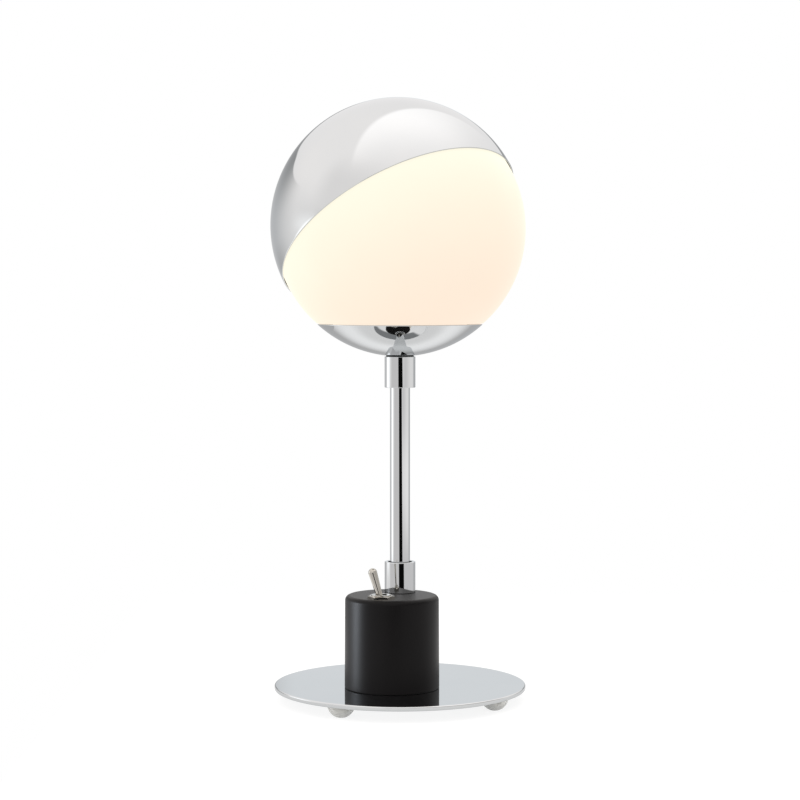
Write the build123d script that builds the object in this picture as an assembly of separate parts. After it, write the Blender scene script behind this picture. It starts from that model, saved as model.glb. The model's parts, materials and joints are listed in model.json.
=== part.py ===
from build123d import *
import math
import os

# A table lamp: a metal half-shell shade slides on an opal glass globe, which stands in a shallow
# bowl on a slim stem above a round base with a toggle switch. Millimetres and degrees, +Z up.
# The origin is on the table under the stem, and the switch side faces -Y.

# Clearances
SLIP = 0.05  # radial play of a pair that is screwed or pushed together
PASS = 0.15  # radial play of a screw, nipple or bushing in a plain hole
RUN = 0.3  # air between a moving piece and its neighbour

# Feet: clear domes stuck under the disc
FOOT_RADIUS = 8.2
FOOT_FLAT_DEPTH = 0.5
FOOT_ROOT_DEPTH = 0.9  # from the dome's widest part down to where it is stuck on
FOOT_COUNT = 4
FOOT_INSET = 10.5
FOOT_RING_TURN = -9.4

# Base disc
DISC_RADIUS = 75.7
DISC_THICKNESS = 2.7
DISC_EDGE_RADIUS = 0.8

# Cord gland in the middle of the disc
GLAND_BORE_RADIUS = 3.2
GLAND_WALL = 1.8
GLAND_LIP = 1.0
GLAND_LIP_THICKNESS = 1.5
GLAND_FLANGE = 2.0
GLAND_FLANGE_THICKNESS = 1.2

# Switch housing, a cup that stands on the disc in front of the stem
HOUSING_OFFSET = 12.8
HOUSING_TOP_RADIUS = 28.0
HOUSING_FOOT_RADIUS = 28.3
HOUSING_HEIGHT = 55.4
HOUSING_WALL = 2.5
HOUSING_ROOF = 3.0
HOUSING_EDGE_RADIUS = 3.0
BOSS_RADIUS = 4.0
BOSS_HEIGHT = 14.5
BOSS_COUNT = 3
BOSS_BITE = 0.8  # how deep a boss runs into the wall

# Pan-head screws
SCREW_RADIUS = 1.95
SCREW_LENGTH = 11.5
SCREW_HEAD_RADIUS = 3.6
SCREW_HEAD_HEIGHT = 2.4
SCREW_SLOT_WIDTH = 0.9
SCREW_SLOT_DEPTH = 1.0

# Stem, collars and the threaded nipples that clamp them
STEM_RADIUS = 6.0
STEM_LENGTH = 134.0
COLLAR_RADIUS = 9.25
COLLAR_BORE_RADIUS = 7.2
COLLAR_HEIGHT = 18.6
COLLAR_WEB = 4.0
COLLAR_EDGE = 0.4
NIPPLE_RADIUS = 5.0
NIPPLE_BORE_RADIUS = 3.9
NIPPLE_GRIP = 14.0
NIPPLE_TAIL = 1.5
NUT_FLATS = 14.0
NUT_THICKNESS = 4.0
WASHER_RADIUS = 8.5
WASHER_THICKNESS = 1.0

# Bowl that carries the globe
BOWL_WASHER_RADIUS = 8.3
BOWL_WASHER_THICKNESS = 0.7
BOWL_RADIUS = 73.5
BOWL_WALL = 1.0
BOWL_FLAT_RADIUS = 10.0
BOWL_DEPTH = 18.8

# Opal glass globe
GLOBE_RADIUS = 75.0
GLASS_WALL = 2.5
NECK_RADIUS = 40.0
NECK_AIR = 0.8

# Spring plate that grips the globe's neck
SPRING_THICKNESS = 0.7
SPRING_HUB_RADIUS = 12.0
SPRING_ARM_COUNT = 3
SPRING_ARM_WIDTH = 8.0
SPRING_ARM_ROOT = 20.0
SPRING_BULGE = 2.0
SPRING_BEND_RADIUS = 1.6

# Lampholder
HOLDER_RADIUS = 14.0
HOLDER_WALL = 1.5
HOLDER_FLOOR = 3.0
HOLDER_BASE_HEIGHT = 10.0
HOLDER_FLANGE_HEIGHT = 4.0
HOLDER_SKIRT_HEIGHT = 32.3
HOLDER_LIP = 2.0
INSERT_THICKNESS = 4.0
SHELL_RADIUS = 7.9
SHELL_WALL = 0.6
SHELL_HEIGHT = 17.3
SHELL_FLANGE = 1.6
CONTACT_RADIUS = 3.2
CONTACT_THICKNESS = 0.7
POST_RADIUS = 1.5
POST_HEIGHT = 4.0

# Bulb
BULB_RADIUS = 22.5
BULB_LENGTH = 78.0
BULB_WALL = 0.8
BULB_CAP_RADIUS = 6.9
BULB_CAP_WALL = 0.4
BULB_CAP_HEIGHT = 17.0
BULB_FLARE_RADIUS = 8.6
BULB_FLARE_HEIGHT = 3.0
BULB_SOLDER_RADIUS = 2.4
BULB_SOLDER_HEIGHT = 0.8
BULB_GLASS_BUTTON_HEIGHT = 3.7
BULB_GLASS_SINK = 6.0  # how deep the glass sits in the metal cap
BULB_STEM_RADIUS = 2.2
BULB_STEM_HEIGHT = 21.0
FILAMENT_COUNT = 4
FILAMENT_RADIUS = 0.8
FILAMENT_LENGTH = 24.0
FILAMENT_RING_RADIUS = 5.5
FILAMENT_PLATE = 0.8

# Shade: a half shell that rests on felt pads on the globe
SHADE_AIR = 0.4  # how much wider its inside is than the globe, in radius
SHADE_WALL = 0.8
SHADE_LIFT = 2.9  # its centre above the globe's, along its own axis
SHADE_SKIRT = 1.5
SHADE_TILT = 36.0
SHADE_HEADING = 157.7  # compass direction of the lean, counted from +X towards +Y
PAD_COUNT = 3
PAD_RADIUS = 6.0
PAD_POLAR_ANGLE = 35.0

# Toggle switch
SWITCH_FORWARD = 16.9  # in front of the housing's axis
SWITCH_LENGTH = 21.0
SWITCH_WIDTH = 12.0
SWITCH_HEIGHT = 20.0
TAB_SPREAD = 8.0
TAB_WIDTH = 4.8
TAB_THICKNESS = 0.8
TAB_LENGTH = 6.5
LOCK_WASHER_RADIUS = 8.0
LOCK_WASHER_THICKNESS = 0.5
BUSHING_RADIUS = 5.9
BUSHING_PROUD = 0.5
DRESS_NUT_FLATS = 14.0
DRESS_NUT_THICKNESS = 1.8
DRESS_NUT_EDGE = 0.3
DRESS_NUT_TURN = 22.0  # degrees, from a flat that faces straight forwards
LEVER_LEAN = 18.0
LEVER_PIVOT_DEPTH = 1.5  # below the housing's top face
LEVER_LENGTH = 20.0
LEVER_ROOT_RADIUS = 1.8
LEVER_TIP_RADIUS = 2.65
LEVER_BALL_RADIUS = 3.0
LEVER_TAIL_RADIUS = 1.5
LEVER_TAIL_LENGTH = 7.0
PIN_RADIUS = 0.6
PIN_BITE = 1.6  # how deep the pivot pin sits in each wall of the bushing

# Wiring inside the housing
WIRE_RADIUS = 1.1
WIRE_SPREAD = 1.6  # of the two stem wires from the stem's axis
WIRE_PUSH = 3.0  # how far a wire goes into its terminal
WIRE_LOOP = 7.0
WIRE_END_GAP = 0.1
BLOCK_FORWARD = 5.4
BLOCK_PITCH = 9.0
BLOCK_END = 4.5
BLOCK_WIDTH = 12.0
BLOCK_HEIGHT = 11.0
WAY_HEIGHT = 4.5
WAY_RADIUS = 1.6
GRUB_RADIUS = 1.6
GRUB_SINK = 1.0
BLOCK_SCREW_RADIUS = 1.45
BLOCK_SCREW_HEAD_RADIUS = 2.2
BLOCK_SCREW_HEAD_HEIGHT = 1.5
TAG_GAP = 0.8  # from the terminal block
TAG_FORWARD = 3.9
TAG_RADIUS = 3.6
TAG_THICKNESS = 0.8
BARREL_WALL = 0.7
BARREL_LENGTH = 4.5

# Heights, from the table up
FOOT_CENTRE = FOOT_RADIUS - FOOT_FLAT_DEPTH
DISC_UNDER = FOOT_CENTRE - FOOT_ROOT_DEPTH
DISC_TOP = DISC_UNDER + DISC_THICKNESS
ROOF_TOP = DISC_TOP + HOUSING_HEIGHT
ROOF_UNDER = ROOF_TOP - HOUSING_ROOF
STEM_FOOT = ROOF_TOP + COLLAR_WEB
STEM_TOP = STEM_FOOT + STEM_LENGTH
BOWL_SEAT = STEM_TOP + COLLAR_WEB
BOWL_FLAT = BOWL_SEAT + BOWL_WASHER_THICKNESS
BOWL_FLOOR = BOWL_FLAT + BOWL_WALL
BOWL_RIM = BOWL_FLAT + BOWL_DEPTH
PLATE_SEAT = BOWL_FLOOR + NUT_THICKNESS
HOLDER_SEAT = PLATE_SEAT + SPRING_THICKNESS
HOLDER_RIM = HOLDER_SEAT + HOLDER_BASE_HEIGHT
INSERT_TOP = HOLDER_RIM + INSERT_THICKNESS
BULB_TIP = INSERT_TOP + CONTACT_THICKNESS
BULB_CENTRE = BULB_TIP + BULB_LENGTH - BULB_RADIUS


def chord(radius, rise):
    """Half width of a circle at a height above or below its centre."""
    return math.sqrt(radius**2 - rise**2)


# The bowl's sphere, its rim and the globe that stands flush on it
BOWL_INSIDE_RADIUS = BOWL_RADIUS - BOWL_WALL
BOWL_CENTRE = BOWL_FLAT + chord(BOWL_RADIUS, BOWL_FLAT_RADIUS)
RIM_RADIUS = chord(BOWL_RADIUS, BOWL_CENTRE - BOWL_RIM)
SHOULDER = BOWL_RIM + RUN
GLOBE_CENTRE = SHOULDER + chord(GLOBE_RADIUS, RIM_RADIUS)
NECK_BORE_RADIUS = NECK_RADIUS - GLASS_WALL
NECK_END = BOWL_CENTRE - chord(BOWL_INSIDE_RADIUS - NECK_AIR, NECK_RADIUS)

# Places in plan
FOOT_RING_RADIUS = DISC_RADIUS - FOOT_INSET
HOUSING_Y = -HOUSING_OFFSET
SWITCH_Y = HOUSING_Y - SWITCH_FORWARD
BLOCK_Y = HOUSING_Y - BLOCK_FORWARD
TAG_Y = HOUSING_Y - TAG_FORWARD
BOSS_RING_RADIUS = HOUSING_TOP_RADIUS - HOUSING_WALL - BOSS_RADIUS + BOSS_BITE

# Radii and heights of what fits together
GLAND_GROOVE_RADIUS = GLAND_BORE_RADIUS + GLAND_WALL
STEM_BORE_RADIUS = NIPPLE_RADIUS + SLIP
NIPPLE_HOLE_RADIUS = NIPPLE_RADIUS + PASS
SCREW_HOLE_RADIUS = SCREW_RADIUS + PASS
SCREW_THREAD_RADIUS = SCREW_RADIUS + SLIP
HOLDER_INSIDE_RADIUS = HOLDER_RADIUS - HOLDER_WALL
PLUG_RADIUS = HOLDER_INSIDE_RADIUS - 2 * SLIP
SHELL_INSIDE_RADIUS = SHELL_RADIUS - SHELL_WALL
SKIRT_FOOT = HOLDER_SEAT + HOLDER_FLANGE_HEIGHT
POST_X = WIRE_SPREAD + WIRE_RADIUS + POST_RADIUS + PASS
BULB_CAP_FOOT = BULB_TIP + BULB_SOLDER_HEIGHT + BULB_GLASS_BUTTON_HEIGHT
BULB_CAP_TOP = BULB_CAP_FOOT + BULB_CAP_HEIGHT
BULB_FLARE_TOP = BULB_CAP_TOP + BULB_FLARE_HEIGHT
BULB_GLASS_FOOT = BULB_FLARE_TOP - BULB_GLASS_SINK
BULB_NECK_RADIUS = BULB_CAP_RADIUS - BULB_CAP_WALL - 2 * SLIP
SHADE_INSIDE_RADIUS = GLOBE_RADIUS + SHADE_AIR
SHADE_RADIUS = SHADE_INSIDE_RADIUS + SHADE_WALL
SWITCH_TOP = ROOF_UNDER - LOCK_WASHER_THICKNESS
SWITCH_UNDER = SWITCH_TOP - SWITCH_HEIGHT
TAB_END = SWITCH_UNDER - TAB_LENGTH
PIVOT_Z = ROOF_TOP - LEVER_PIVOT_DEPTH
BUSHING_TOP = ROOF_TOP + DRESS_NUT_THICKNESS + BUSHING_PROUD
BUSHING_BORE_RADIUS = LEVER_BALL_RADIUS + RUN
WAY_Z = DISC_TOP + WAY_HEIGHT
BARREL_BORE_RADIUS = WIRE_RADIUS + 2 * SLIP
BARREL_RADIUS = BARREL_BORE_RADIUS + BARREL_WALL
BARREL_Z = DISC_TOP + BARREL_RADIUS
BLOCK_SCREW_X = BLOCK_PITCH / 2
FILAMENT_PLATE_RADIUS = FILAMENT_RING_RADIUS + 2 * FILAMENT_RADIUS
TAG_SIDE = BLOCK_PITCH + BLOCK_END + TAG_GAP + TAG_RADIUS


def rod(radius, low, high, x=0.0, y=0.0):
    """Upright round bar between two heights."""
    bar = Cylinder(radius, high - low, align=(Align.CENTER, Align.CENTER, Align.MIN))
    return Pos(x, y, low) * bar


def tube(radius, bore, low, high, x=0.0, y=0.0):
    """Upright round tube between two heights."""
    return rod(radius, low, high, x, y) - rod(bore, low, high, x, y)


def block(length, width, low, high, x=0.0, y=0.0):
    """Upright box between two heights, centred in plan."""
    box = Box(length, width, high - low, align=(Align.CENTER, Align.CENTER, Align.MIN))
    return Pos(x, y, low) * box


def hexagon(flats, low, high, x=0.0, y=0.0):
    """Upright hexagonal bar, given across its flats."""
    outline = RegularPolygon(flats / 2, 6, major_radius=False)
    return Pos(x, y, low) * extrude(outline, high - low)


def turned(edges):
    """Solid of revolution about Z from a closed outline of (radius, height) edges."""
    return revolve(Plane.XZ * make_face(edges), Axis.Z)


def turned_points(*points):
    """Solid of revolution about Z from the corners of its half section."""
    return turned(Polyline(*points, close=True).edges())


def arc_about(height, start, end):
    """Arc of a circle centred on the Z axis, between two of its points."""
    radius = math.dist((0, height), start)
    first = math.atan2(start[1] - height, start[0])
    last = math.atan2(end[1] - height, end[0])
    middle = (first + last) / 2
    top = (radius * math.cos(middle), height + radius * math.sin(middle))
    return ThreePointArc(start, top, end)


def chain(*corners):
    """Straight edges from corner to corner."""
    return [Line(a, b) for a, b in zip(corners, corners[1:])]


def around(count, radius, turn=0.0):
    """Places on a circle in plan; with no turn the first one faces -Y."""
    angles = [math.radians(turn + 360.0 * i / count) for i in range(count)]
    return [(radius * math.sin(a), -radius * math.cos(a)) for a in angles]


def boss_places():
    """Screw places of the housing, on the disc."""
    return [(x, y + HOUSING_Y) for x, y in around(BOSS_COUNT, BOSS_RING_RADIUS)]


def pan_screw(length, x, y, head_z, up):
    """Slotted pan-head screw; its head's seat is at head_z and its shank points up or down."""
    head = rod(SCREW_HEAD_RADIUS, -SCREW_HEAD_HEIGHT, 0)
    head = fillet(head.edges().group_by(Axis.Z)[0], SCREW_HEAD_HEIGHT / 2)
    slot_top = SCREW_SLOT_DEPTH - SCREW_HEAD_HEIGHT
    slot = block(2 * SCREW_HEAD_RADIUS, SCREW_SLOT_WIDTH, -SCREW_HEAD_HEIGHT, slot_top)
    screw = head - slot + rod(SCREW_RADIUS, 0, length)
    flip = Rot(0, 0, 0) if up else Rot(180, 0, 0)
    return Pos(x, y, head_z) * flip * screw


def foot(x, y):
    """Clear dome with a small flat to stand on."""
    dome = Pos(x, y, FOOT_CENTRE) * Sphere(FOOT_RADIUS)
    return dome & block(2 * FOOT_RADIUS, 2 * FOOT_RADIUS, 0, DISC_UNDER, x, y)


def base_disc():
    """Plate with rounded edges and the holes for gland and screws."""
    plate = rod(DISC_RADIUS, DISC_UNDER, DISC_TOP)
    plate = fillet(plate.edges().filter_by(GeomType.CIRCLE), DISC_EDGE_RADIUS)
    plate -= rod(GLAND_GROOVE_RADIUS + 2 * SLIP, DISC_UNDER, DISC_TOP)
    for x, y in boss_places():
        plate -= rod(SCREW_HOLE_RADIUS, DISC_UNDER, DISC_TOP, x, y)
    plate -= rod(BLOCK_SCREW_RADIUS + SLIP, DISC_UNDER, DISC_TOP, BLOCK_SCREW_X, BLOCK_Y)
    plate -= rod(SCREW_THREAD_RADIUS, DISC_UNDER, DISC_TOP, TAG_SIDE, TAG_Y)
    return plate


def cord_gland():
    """Rubber grommet for the mains cord, held by its groove in the disc."""
    lip_radius = GLAND_GROOVE_RADIUS + GLAND_LIP
    flange_radius = GLAND_GROOVE_RADIUS + GLAND_FLANGE
    return turned_points(
        (GLAND_BORE_RADIUS, DISC_UNDER - GLAND_FLANGE_THICKNESS),
        (flange_radius, DISC_UNDER - GLAND_FLANGE_THICKNESS),
        (flange_radius, DISC_UNDER),
        (GLAND_GROOVE_RADIUS, DISC_UNDER),
        (GLAND_GROOVE_RADIUS, DISC_TOP),
        (lip_radius, DISC_TOP),
        (GLAND_GROOVE_RADIUS, DISC_TOP + GLAND_LIP_THICKNESS),
        (GLAND_BORE_RADIUS, DISC_TOP + GLAND_LIP_THICKNESS),
    )


def switch_housing():
    """Cup with a rounded top edge, screw bosses and holes for nipple and switch."""
    round_z = ROOF_TOP - HOUSING_EDGE_RADIUS
    round_radius = HOUSING_TOP_RADIUS - HOUSING_EDGE_RADIUS
    lean = HOUSING_EDGE_RADIUS * math.sqrt(0.5)
    edge = ThreePointArc(
        (HOUSING_TOP_RADIUS, round_z),
        (round_radius + lean, round_z + lean),
        (round_radius, ROOF_TOP),
    )
    inside_top = (HOUSING_TOP_RADIUS - HOUSING_WALL, ROOF_UNDER)
    inside_foot = (HOUSING_FOOT_RADIUS - HOUSING_WALL, DISC_TOP)
    wall = chain(inside_foot, (HOUSING_FOOT_RADIUS, DISC_TOP), (HOUSING_TOP_RADIUS, round_z))
    roof = chain((round_radius, ROOF_TOP), (0, ROOF_TOP), (0, ROOF_UNDER), inside_top, inside_foot)
    cup = Pos(0, HOUSING_Y, 0) * turned([*wall, edge, *roof])
    for x, y in boss_places():
        cup += rod(BOSS_RADIUS, DISC_TOP, DISC_TOP + BOSS_HEIGHT, x, y)
    for x, y in boss_places():
        cup -= rod(SCREW_THREAD_RADIUS, DISC_TOP, DISC_UNDER + SCREW_LENGTH + RUN, x, y)
    cup -= rod(NIPPLE_HOLE_RADIUS, ROOF_UNDER, ROOF_TOP)
    return cup - rod(BUSHING_RADIUS + PASS, ROOF_UNDER, ROOF_TOP, 0, SWITCH_Y)


def housing_screws():
    """Screws that hold the housing from below."""
    screws = [pan_screw(SCREW_LENGTH, x, y, DISC_UNDER, True) for x, y in boss_places()]
    return Compound(children=screws)


def collar():
    """Cup that centres an end of the stem: its web is at the bottom and its mouth at the top."""
    return turned_points(
        (NIPPLE_HOLE_RADIUS, 0),
        (COLLAR_RADIUS - COLLAR_EDGE, 0),
        (COLLAR_RADIUS, COLLAR_EDGE),
        (COLLAR_RADIUS, COLLAR_HEIGHT - COLLAR_EDGE),
        (COLLAR_RADIUS - COLLAR_EDGE, COLLAR_HEIGHT),
        (COLLAR_BORE_RADIUS, COLLAR_HEIGHT),
        (COLLAR_BORE_RADIUS, COLLAR_WEB),
        (NIPPLE_HOLE_RADIUS, COLLAR_WEB),
    )


def stem_tube():
    """Long tube between the two collars."""
    return tube(STEM_RADIUS, STEM_BORE_RADIUS, STEM_FOOT, STEM_TOP)


def lower_nipple():
    """Threaded tube from the housing's roof into the stem."""
    low = ROOF_UNDER - WASHER_THICKNESS - NUT_THICKNESS - NIPPLE_TAIL
    return tube(NIPPLE_RADIUS, NIPPLE_BORE_RADIUS, low, STEM_FOOT + NIPPLE_GRIP)


def upper_nipple():
    """Threaded tube from the stem through the bowl into the lampholder."""
    low = STEM_TOP - NIPPLE_GRIP
    return tube(NIPPLE_RADIUS, NIPPLE_BORE_RADIUS, low, HOLDER_SEAT + HOLDER_FLOOR)


def nipple_nut(low):
    """Hexagon nut on a nipple."""
    high = low + NUT_THICKNESS
    return hexagon(NUT_FLATS, low, high) - rod(NIPPLE_RADIUS + SLIP, low, high)


def bowl():
    """Shallow spun bowl with a flat middle."""
    inside_rim = (chord(BOWL_INSIDE_RADIUS, BOWL_CENTRE - BOWL_RIM), BOWL_RIM)
    inside_flat = (chord(BOWL_INSIDE_RADIUS, BOWL_CENTRE - BOWL_FLOOR), BOWL_FLOOR)
    outside_flat = (BOWL_FLAT_RADIUS, BOWL_FLAT)
    outside_rim = (RIM_RADIUS, BOWL_RIM)
    hole_top = (NIPPLE_HOLE_RADIUS, BOWL_FLOOR)
    hole_foot = (NIPPLE_HOLE_RADIUS, BOWL_FLAT)
    return turned(
        [
            arc_about(BOWL_CENTRE, outside_flat, outside_rim),
            Line(outside_rim, inside_rim),
            arc_about(BOWL_CENTRE, inside_rim, inside_flat),
            *chain(inside_flat, hole_top, hole_foot, outside_flat),
        ]
    )


def opal_globe():
    """Blown sphere with a flat shoulder and a short neck that drops into the bowl."""
    inside_shoulder = SHOULDER + GLASS_WALL
    inside_radius = GLOBE_RADIUS - GLASS_WALL
    outside_corner = (RIM_RADIUS, SHOULDER)
    outside_top = (0, GLOBE_CENTRE + GLOBE_RADIUS)
    inside_top = (0, GLOBE_CENTRE + inside_radius)
    inside_corner = (chord(inside_radius, GLOBE_CENTRE - inside_shoulder), inside_shoulder)
    neck = chain(
        inside_corner,
        (NECK_BORE_RADIUS, inside_shoulder),
        (NECK_BORE_RADIUS, NECK_END),
        (NECK_RADIUS, NECK_END),
        (NECK_RADIUS, SHOULDER),
        outside_corner,
    )
    return turned(
        [
            arc_about(GLOBE_CENTRE, outside_corner, outside_top),
            Line(outside_top, inside_top),
            arc_about(GLOBE_CENTRE, inside_top, inside_corner),
            *neck,
        ]
    )


def spring_plate():
    """Plate under the lampholder with bent leaves that press on the inside of the neck."""
    middle = PLATE_SEAT + SPRING_THICKNESS / 2
    grip = chord(NECK_BORE_RADIUS - RUN, SPRING_ARM_WIDTH / 2) - SPRING_THICKNESS / 2
    path = FilletPolyline(
        (SPRING_HUB_RADIUS / 2 + NIPPLE_RADIUS / 2, 0, middle),
        (SPRING_ARM_ROOT, 0, middle),
        (grip - SPRING_BULGE, 0, NECK_END - SPRING_BULGE),
        (grip, 0, (NECK_END + SHOULDER) / 2),
        (grip - SPRING_BULGE, 0, SHOULDER + GLASS_WALL + SPRING_BULGE),
        radius=SPRING_BEND_RADIUS,
    )
    start = Plane(origin=path @ 0, x_dir=(0, 1, 0), z_dir=path % 0)
    arm = sweep(start * Rectangle(SPRING_ARM_WIDTH, SPRING_THICKNESS), path=path)
    plate = rod(SPRING_HUB_RADIUS, PLATE_SEAT, HOLDER_SEAT)
    for i in range(SPRING_ARM_COUNT):
        plate += Rot(0, 0, 90 + 360 * i / SPRING_ARM_COUNT) * arm
    return plate - rod(NIPPLE_HOLE_RADIUS, PLATE_SEAT, HOLDER_SEAT)


def holder_base():
    """Screwed foot of the lampholder, a small cup with a flange."""
    inside = PLUG_RADIUS - HOLDER_WALL
    floor = HOLDER_SEAT + HOLDER_FLOOR
    return turned_points(
        (NIPPLE_RADIUS + SLIP, HOLDER_SEAT),
        (HOLDER_RADIUS, HOLDER_SEAT),
        (HOLDER_RADIUS, SKIRT_FOOT),
        (PLUG_RADIUS, SKIRT_FOOT),
        (PLUG_RADIUS, HOLDER_RIM),
        (inside, HOLDER_RIM),
        (inside, floor),
        (NIPPLE_RADIUS + SLIP, floor),
    )


def holder_skirt():
    """Outer sleeve of the lampholder, drawn in at its mouth."""
    top = SKIRT_FOOT + HOLDER_SKIRT_HEIGHT
    mouth = SHELL_RADIUS + RUN
    return turned_points(
        (HOLDER_INSIDE_RADIUS, SKIRT_FOOT),
        (HOLDER_RADIUS, SKIRT_FOOT),
        (HOLDER_RADIUS, top),
        (mouth, top),
        (mouth, top - HOLDER_LIP),
        (HOLDER_INSIDE_RADIUS, top - HOLDER_LIP),
    )


def screw_shell():
    """Metal shell that takes the bulb's cap."""
    return turned_points(
        (SHELL_INSIDE_RADIUS, INSERT_TOP),
        (SHELL_RADIUS + SHELL_FLANGE, INSERT_TOP),
        (SHELL_RADIUS + SHELL_FLANGE, INSERT_TOP + SHELL_WALL),
        (SHELL_RADIUS, INSERT_TOP + SHELL_WALL),
        (SHELL_RADIUS, INSERT_TOP + SHELL_HEIGHT),
        (SHELL_INSIDE_RADIUS, INSERT_TOP + SHELL_HEIGHT),
    )


def holder_posts():
    """Two wire terminals under the insert."""
    low = HOLDER_RIM - POST_HEIGHT
    return Compound(children=[rod(POST_RADIUS, low, HOLDER_RIM, side * POST_X) for side in (-1, 1)])


def bulb_insulator():
    """Glass button between the bulb's contact and its cap."""
    low = BULB_TIP + BULB_SOLDER_HEIGHT
    return turned_points(
        (0, low),
        (BULB_SOLDER_RADIUS, low),
        (BULB_CAP_RADIUS, BULB_CAP_FOOT),
        (0, BULB_CAP_FOOT),
    )


def bulb_cap():
    """Screwed metal cap of the bulb with its flared top."""
    return turned_points(
        (BULB_CAP_RADIUS - BULB_CAP_WALL, BULB_CAP_FOOT),
        (BULB_CAP_RADIUS, BULB_CAP_FOOT),
        (BULB_CAP_RADIUS, BULB_CAP_TOP),
        (BULB_FLARE_RADIUS, BULB_FLARE_TOP),
        (BULB_FLARE_RADIUS - BULB_CAP_WALL, BULB_FLARE_TOP),
        (BULB_CAP_RADIUS - BULB_CAP_WALL, BULB_CAP_TOP),
    )


def envelope_outline(radius, neck):
    """Foot, flare and tangent point of the bulb's glass at one of its two surfaces."""
    flare = (neck + BULB_FLARE_RADIUS - BULB_CAP_RADIUS, BULB_FLARE_TOP)
    away = math.dist((0, BULB_CENTRE), flare)
    angle = math.atan2(flare[1] - BULB_CENTRE, flare[0]) + math.acos(radius / away)
    tangent = (radius * math.cos(angle), BULB_CENTRE + radius * math.sin(angle))
    return (neck, BULB_GLASS_FOOT), (neck, BULB_CAP_TOP), flare, tangent, (0, BULB_CENTRE + radius)


def bulb_envelope():
    """Glass of the bulb: a ball that runs tangent into a narrow neck."""
    outside = envelope_outline(BULB_RADIUS, BULB_NECK_RADIUS)
    inside = envelope_outline(BULB_RADIUS - BULB_WALL, BULB_NECK_RADIUS - BULB_WALL)
    return turned(
        [
            *chain(*outside[:4]),
            arc_about(BULB_CENTRE, outside[3], outside[4]),
            Line(outside[4], inside[4]),
            arc_about(BULB_CENTRE, inside[4], inside[3]),
            *chain(*reversed(inside[:4]), outside[0]),
        ]
    )


def bulb_stem():
    """Glass stem that closes the bulb's neck and carries the light rods."""
    seal = BULB_NECK_RADIUS - BULB_WALL - SLIP
    top = BULB_GLASS_FOOT + BULB_STEM_HEIGHT
    stem = rod(seal, BULB_GLASS_FOOT, BULB_GLASS_FOOT + BULB_WALL)
    stem += rod(BULB_STEM_RADIUS, BULB_GLASS_FOOT, top)
    return stem + rod(FILAMENT_PLATE_RADIUS, top - FILAMENT_PLATE, top)


def bulb_filaments():
    """Light rods with the plate that joins their upper ends."""
    low = BULB_GLASS_FOOT + BULB_STEM_HEIGHT
    high = low + FILAMENT_LENGTH
    rods = rod(FILAMENT_PLATE_RADIUS, high, high + FILAMENT_PLATE)
    for x, y in around(FILAMENT_COUNT, FILAMENT_RING_RADIUS):
        rods += rod(FILAMENT_RADIUS, low, high, x, y)
    return rods


def shade_place():
    """Turns what is built upright about the globe's centre into the shade's rest position."""
    lean_to_heading = Rot(0, 0, SHADE_HEADING) * Rot(0, SHADE_TILT, 0) * Rot(0, 0, -SHADE_HEADING)
    return Pos(0, 0, GLOBE_CENTRE) * lean_to_heading


def shade_cap():
    """Half shell with a short straight skirt."""
    outside_top = (0, SHADE_LIFT + SHADE_RADIUS)
    inside_top = (0, SHADE_LIFT + SHADE_INSIDE_RADIUS)
    outside_edge = (SHADE_RADIUS, SHADE_LIFT)
    inside_edge = (SHADE_INSIDE_RADIUS, SHADE_LIFT)
    rim = SHADE_LIFT - SHADE_SKIRT
    cap = turned(
        [
            arc_about(SHADE_LIFT, outside_edge, outside_top),
            Line(outside_top, inside_top),
            arc_about(SHADE_LIFT, inside_top, inside_edge),
            *chain(inside_edge, (SHADE_INSIDE_RADIUS, rim), (SHADE_RADIUS, rim), outside_edge),
        ]
    )
    return shade_place() * cap


def shade_pads():
    """Felt pads under the shade, which slide on the glass."""
    gap_top = Pos(0, 0, SHADE_LIFT) * Sphere(SHADE_INSIDE_RADIUS - SLIP)
    gap = gap_top - Sphere(GLOBE_RADIUS + RUN)
    pads = []
    for i in range(PAD_COUNT):
        towards = Rot(0, 0, 360 * i / PAD_COUNT) * Rot(0, PAD_POLAR_ANGLE, 0)
        plug = towards * rod(PAD_RADIUS, 0, 2 * SHADE_RADIUS)
        pads.append(shade_place() * (gap & plug))
    return Compound(children=pads)


def switch_body():
    """Moulded case of the toggle switch, with the space its lever's tail swings in."""
    lean = math.radians(LEVER_LEAN)
    swing = LEVER_TAIL_LENGTH * math.sin(lean) + LEVER_TAIL_RADIUS / math.cos(lean) + RUN
    case = block(SWITCH_LENGTH, SWITCH_WIDTH, SWITCH_UNDER, SWITCH_TOP, 0, SWITCH_Y)
    cavity_floor = PIVOT_Z - LEVER_TAIL_LENGTH - 2 * RUN
    return case - block(2 * swing, 2 * BUSHING_BORE_RADIUS, cavity_floor, SWITCH_TOP, 0, SWITCH_Y)


def switch_tabs():
    """Solder tabs under the switch."""
    tab = block(TAB_THICKNESS, TAB_WIDTH, TAB_END, SWITCH_UNDER, 0, SWITCH_Y)
    return Compound(children=[Pos(side * TAB_SPREAD, 0, 0) * tab for side in (-1, 1)])


def switch_bushing():
    """Threaded bush that the lever swings in, with cross holes for its pin."""
    lean = math.radians(LEVER_LEAN)
    mouth = (BUSHING_TOP - PIVOT_Z) * math.tan(lean) + LEVER_ROOT_RADIUS / math.cos(lean) + RUN
    bush = turned_points(
        (BUSHING_BORE_RADIUS, SWITCH_TOP),
        (BUSHING_RADIUS, SWITCH_TOP),
        (BUSHING_RADIUS, BUSHING_TOP),
        (max(mouth, BUSHING_BORE_RADIUS), BUSHING_TOP),
        (BUSHING_BORE_RADIUS, PIVOT_Z),
    )
    return Pos(0, SWITCH_Y, 0) * bush - pivot_bar(PIN_RADIUS + SLIP, pin_length() + 2 * SLIP)


def pin_length():
    """Pin length: across the bore and into both walls."""
    return 2 * (BUSHING_BORE_RADIUS + PIN_BITE)


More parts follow.
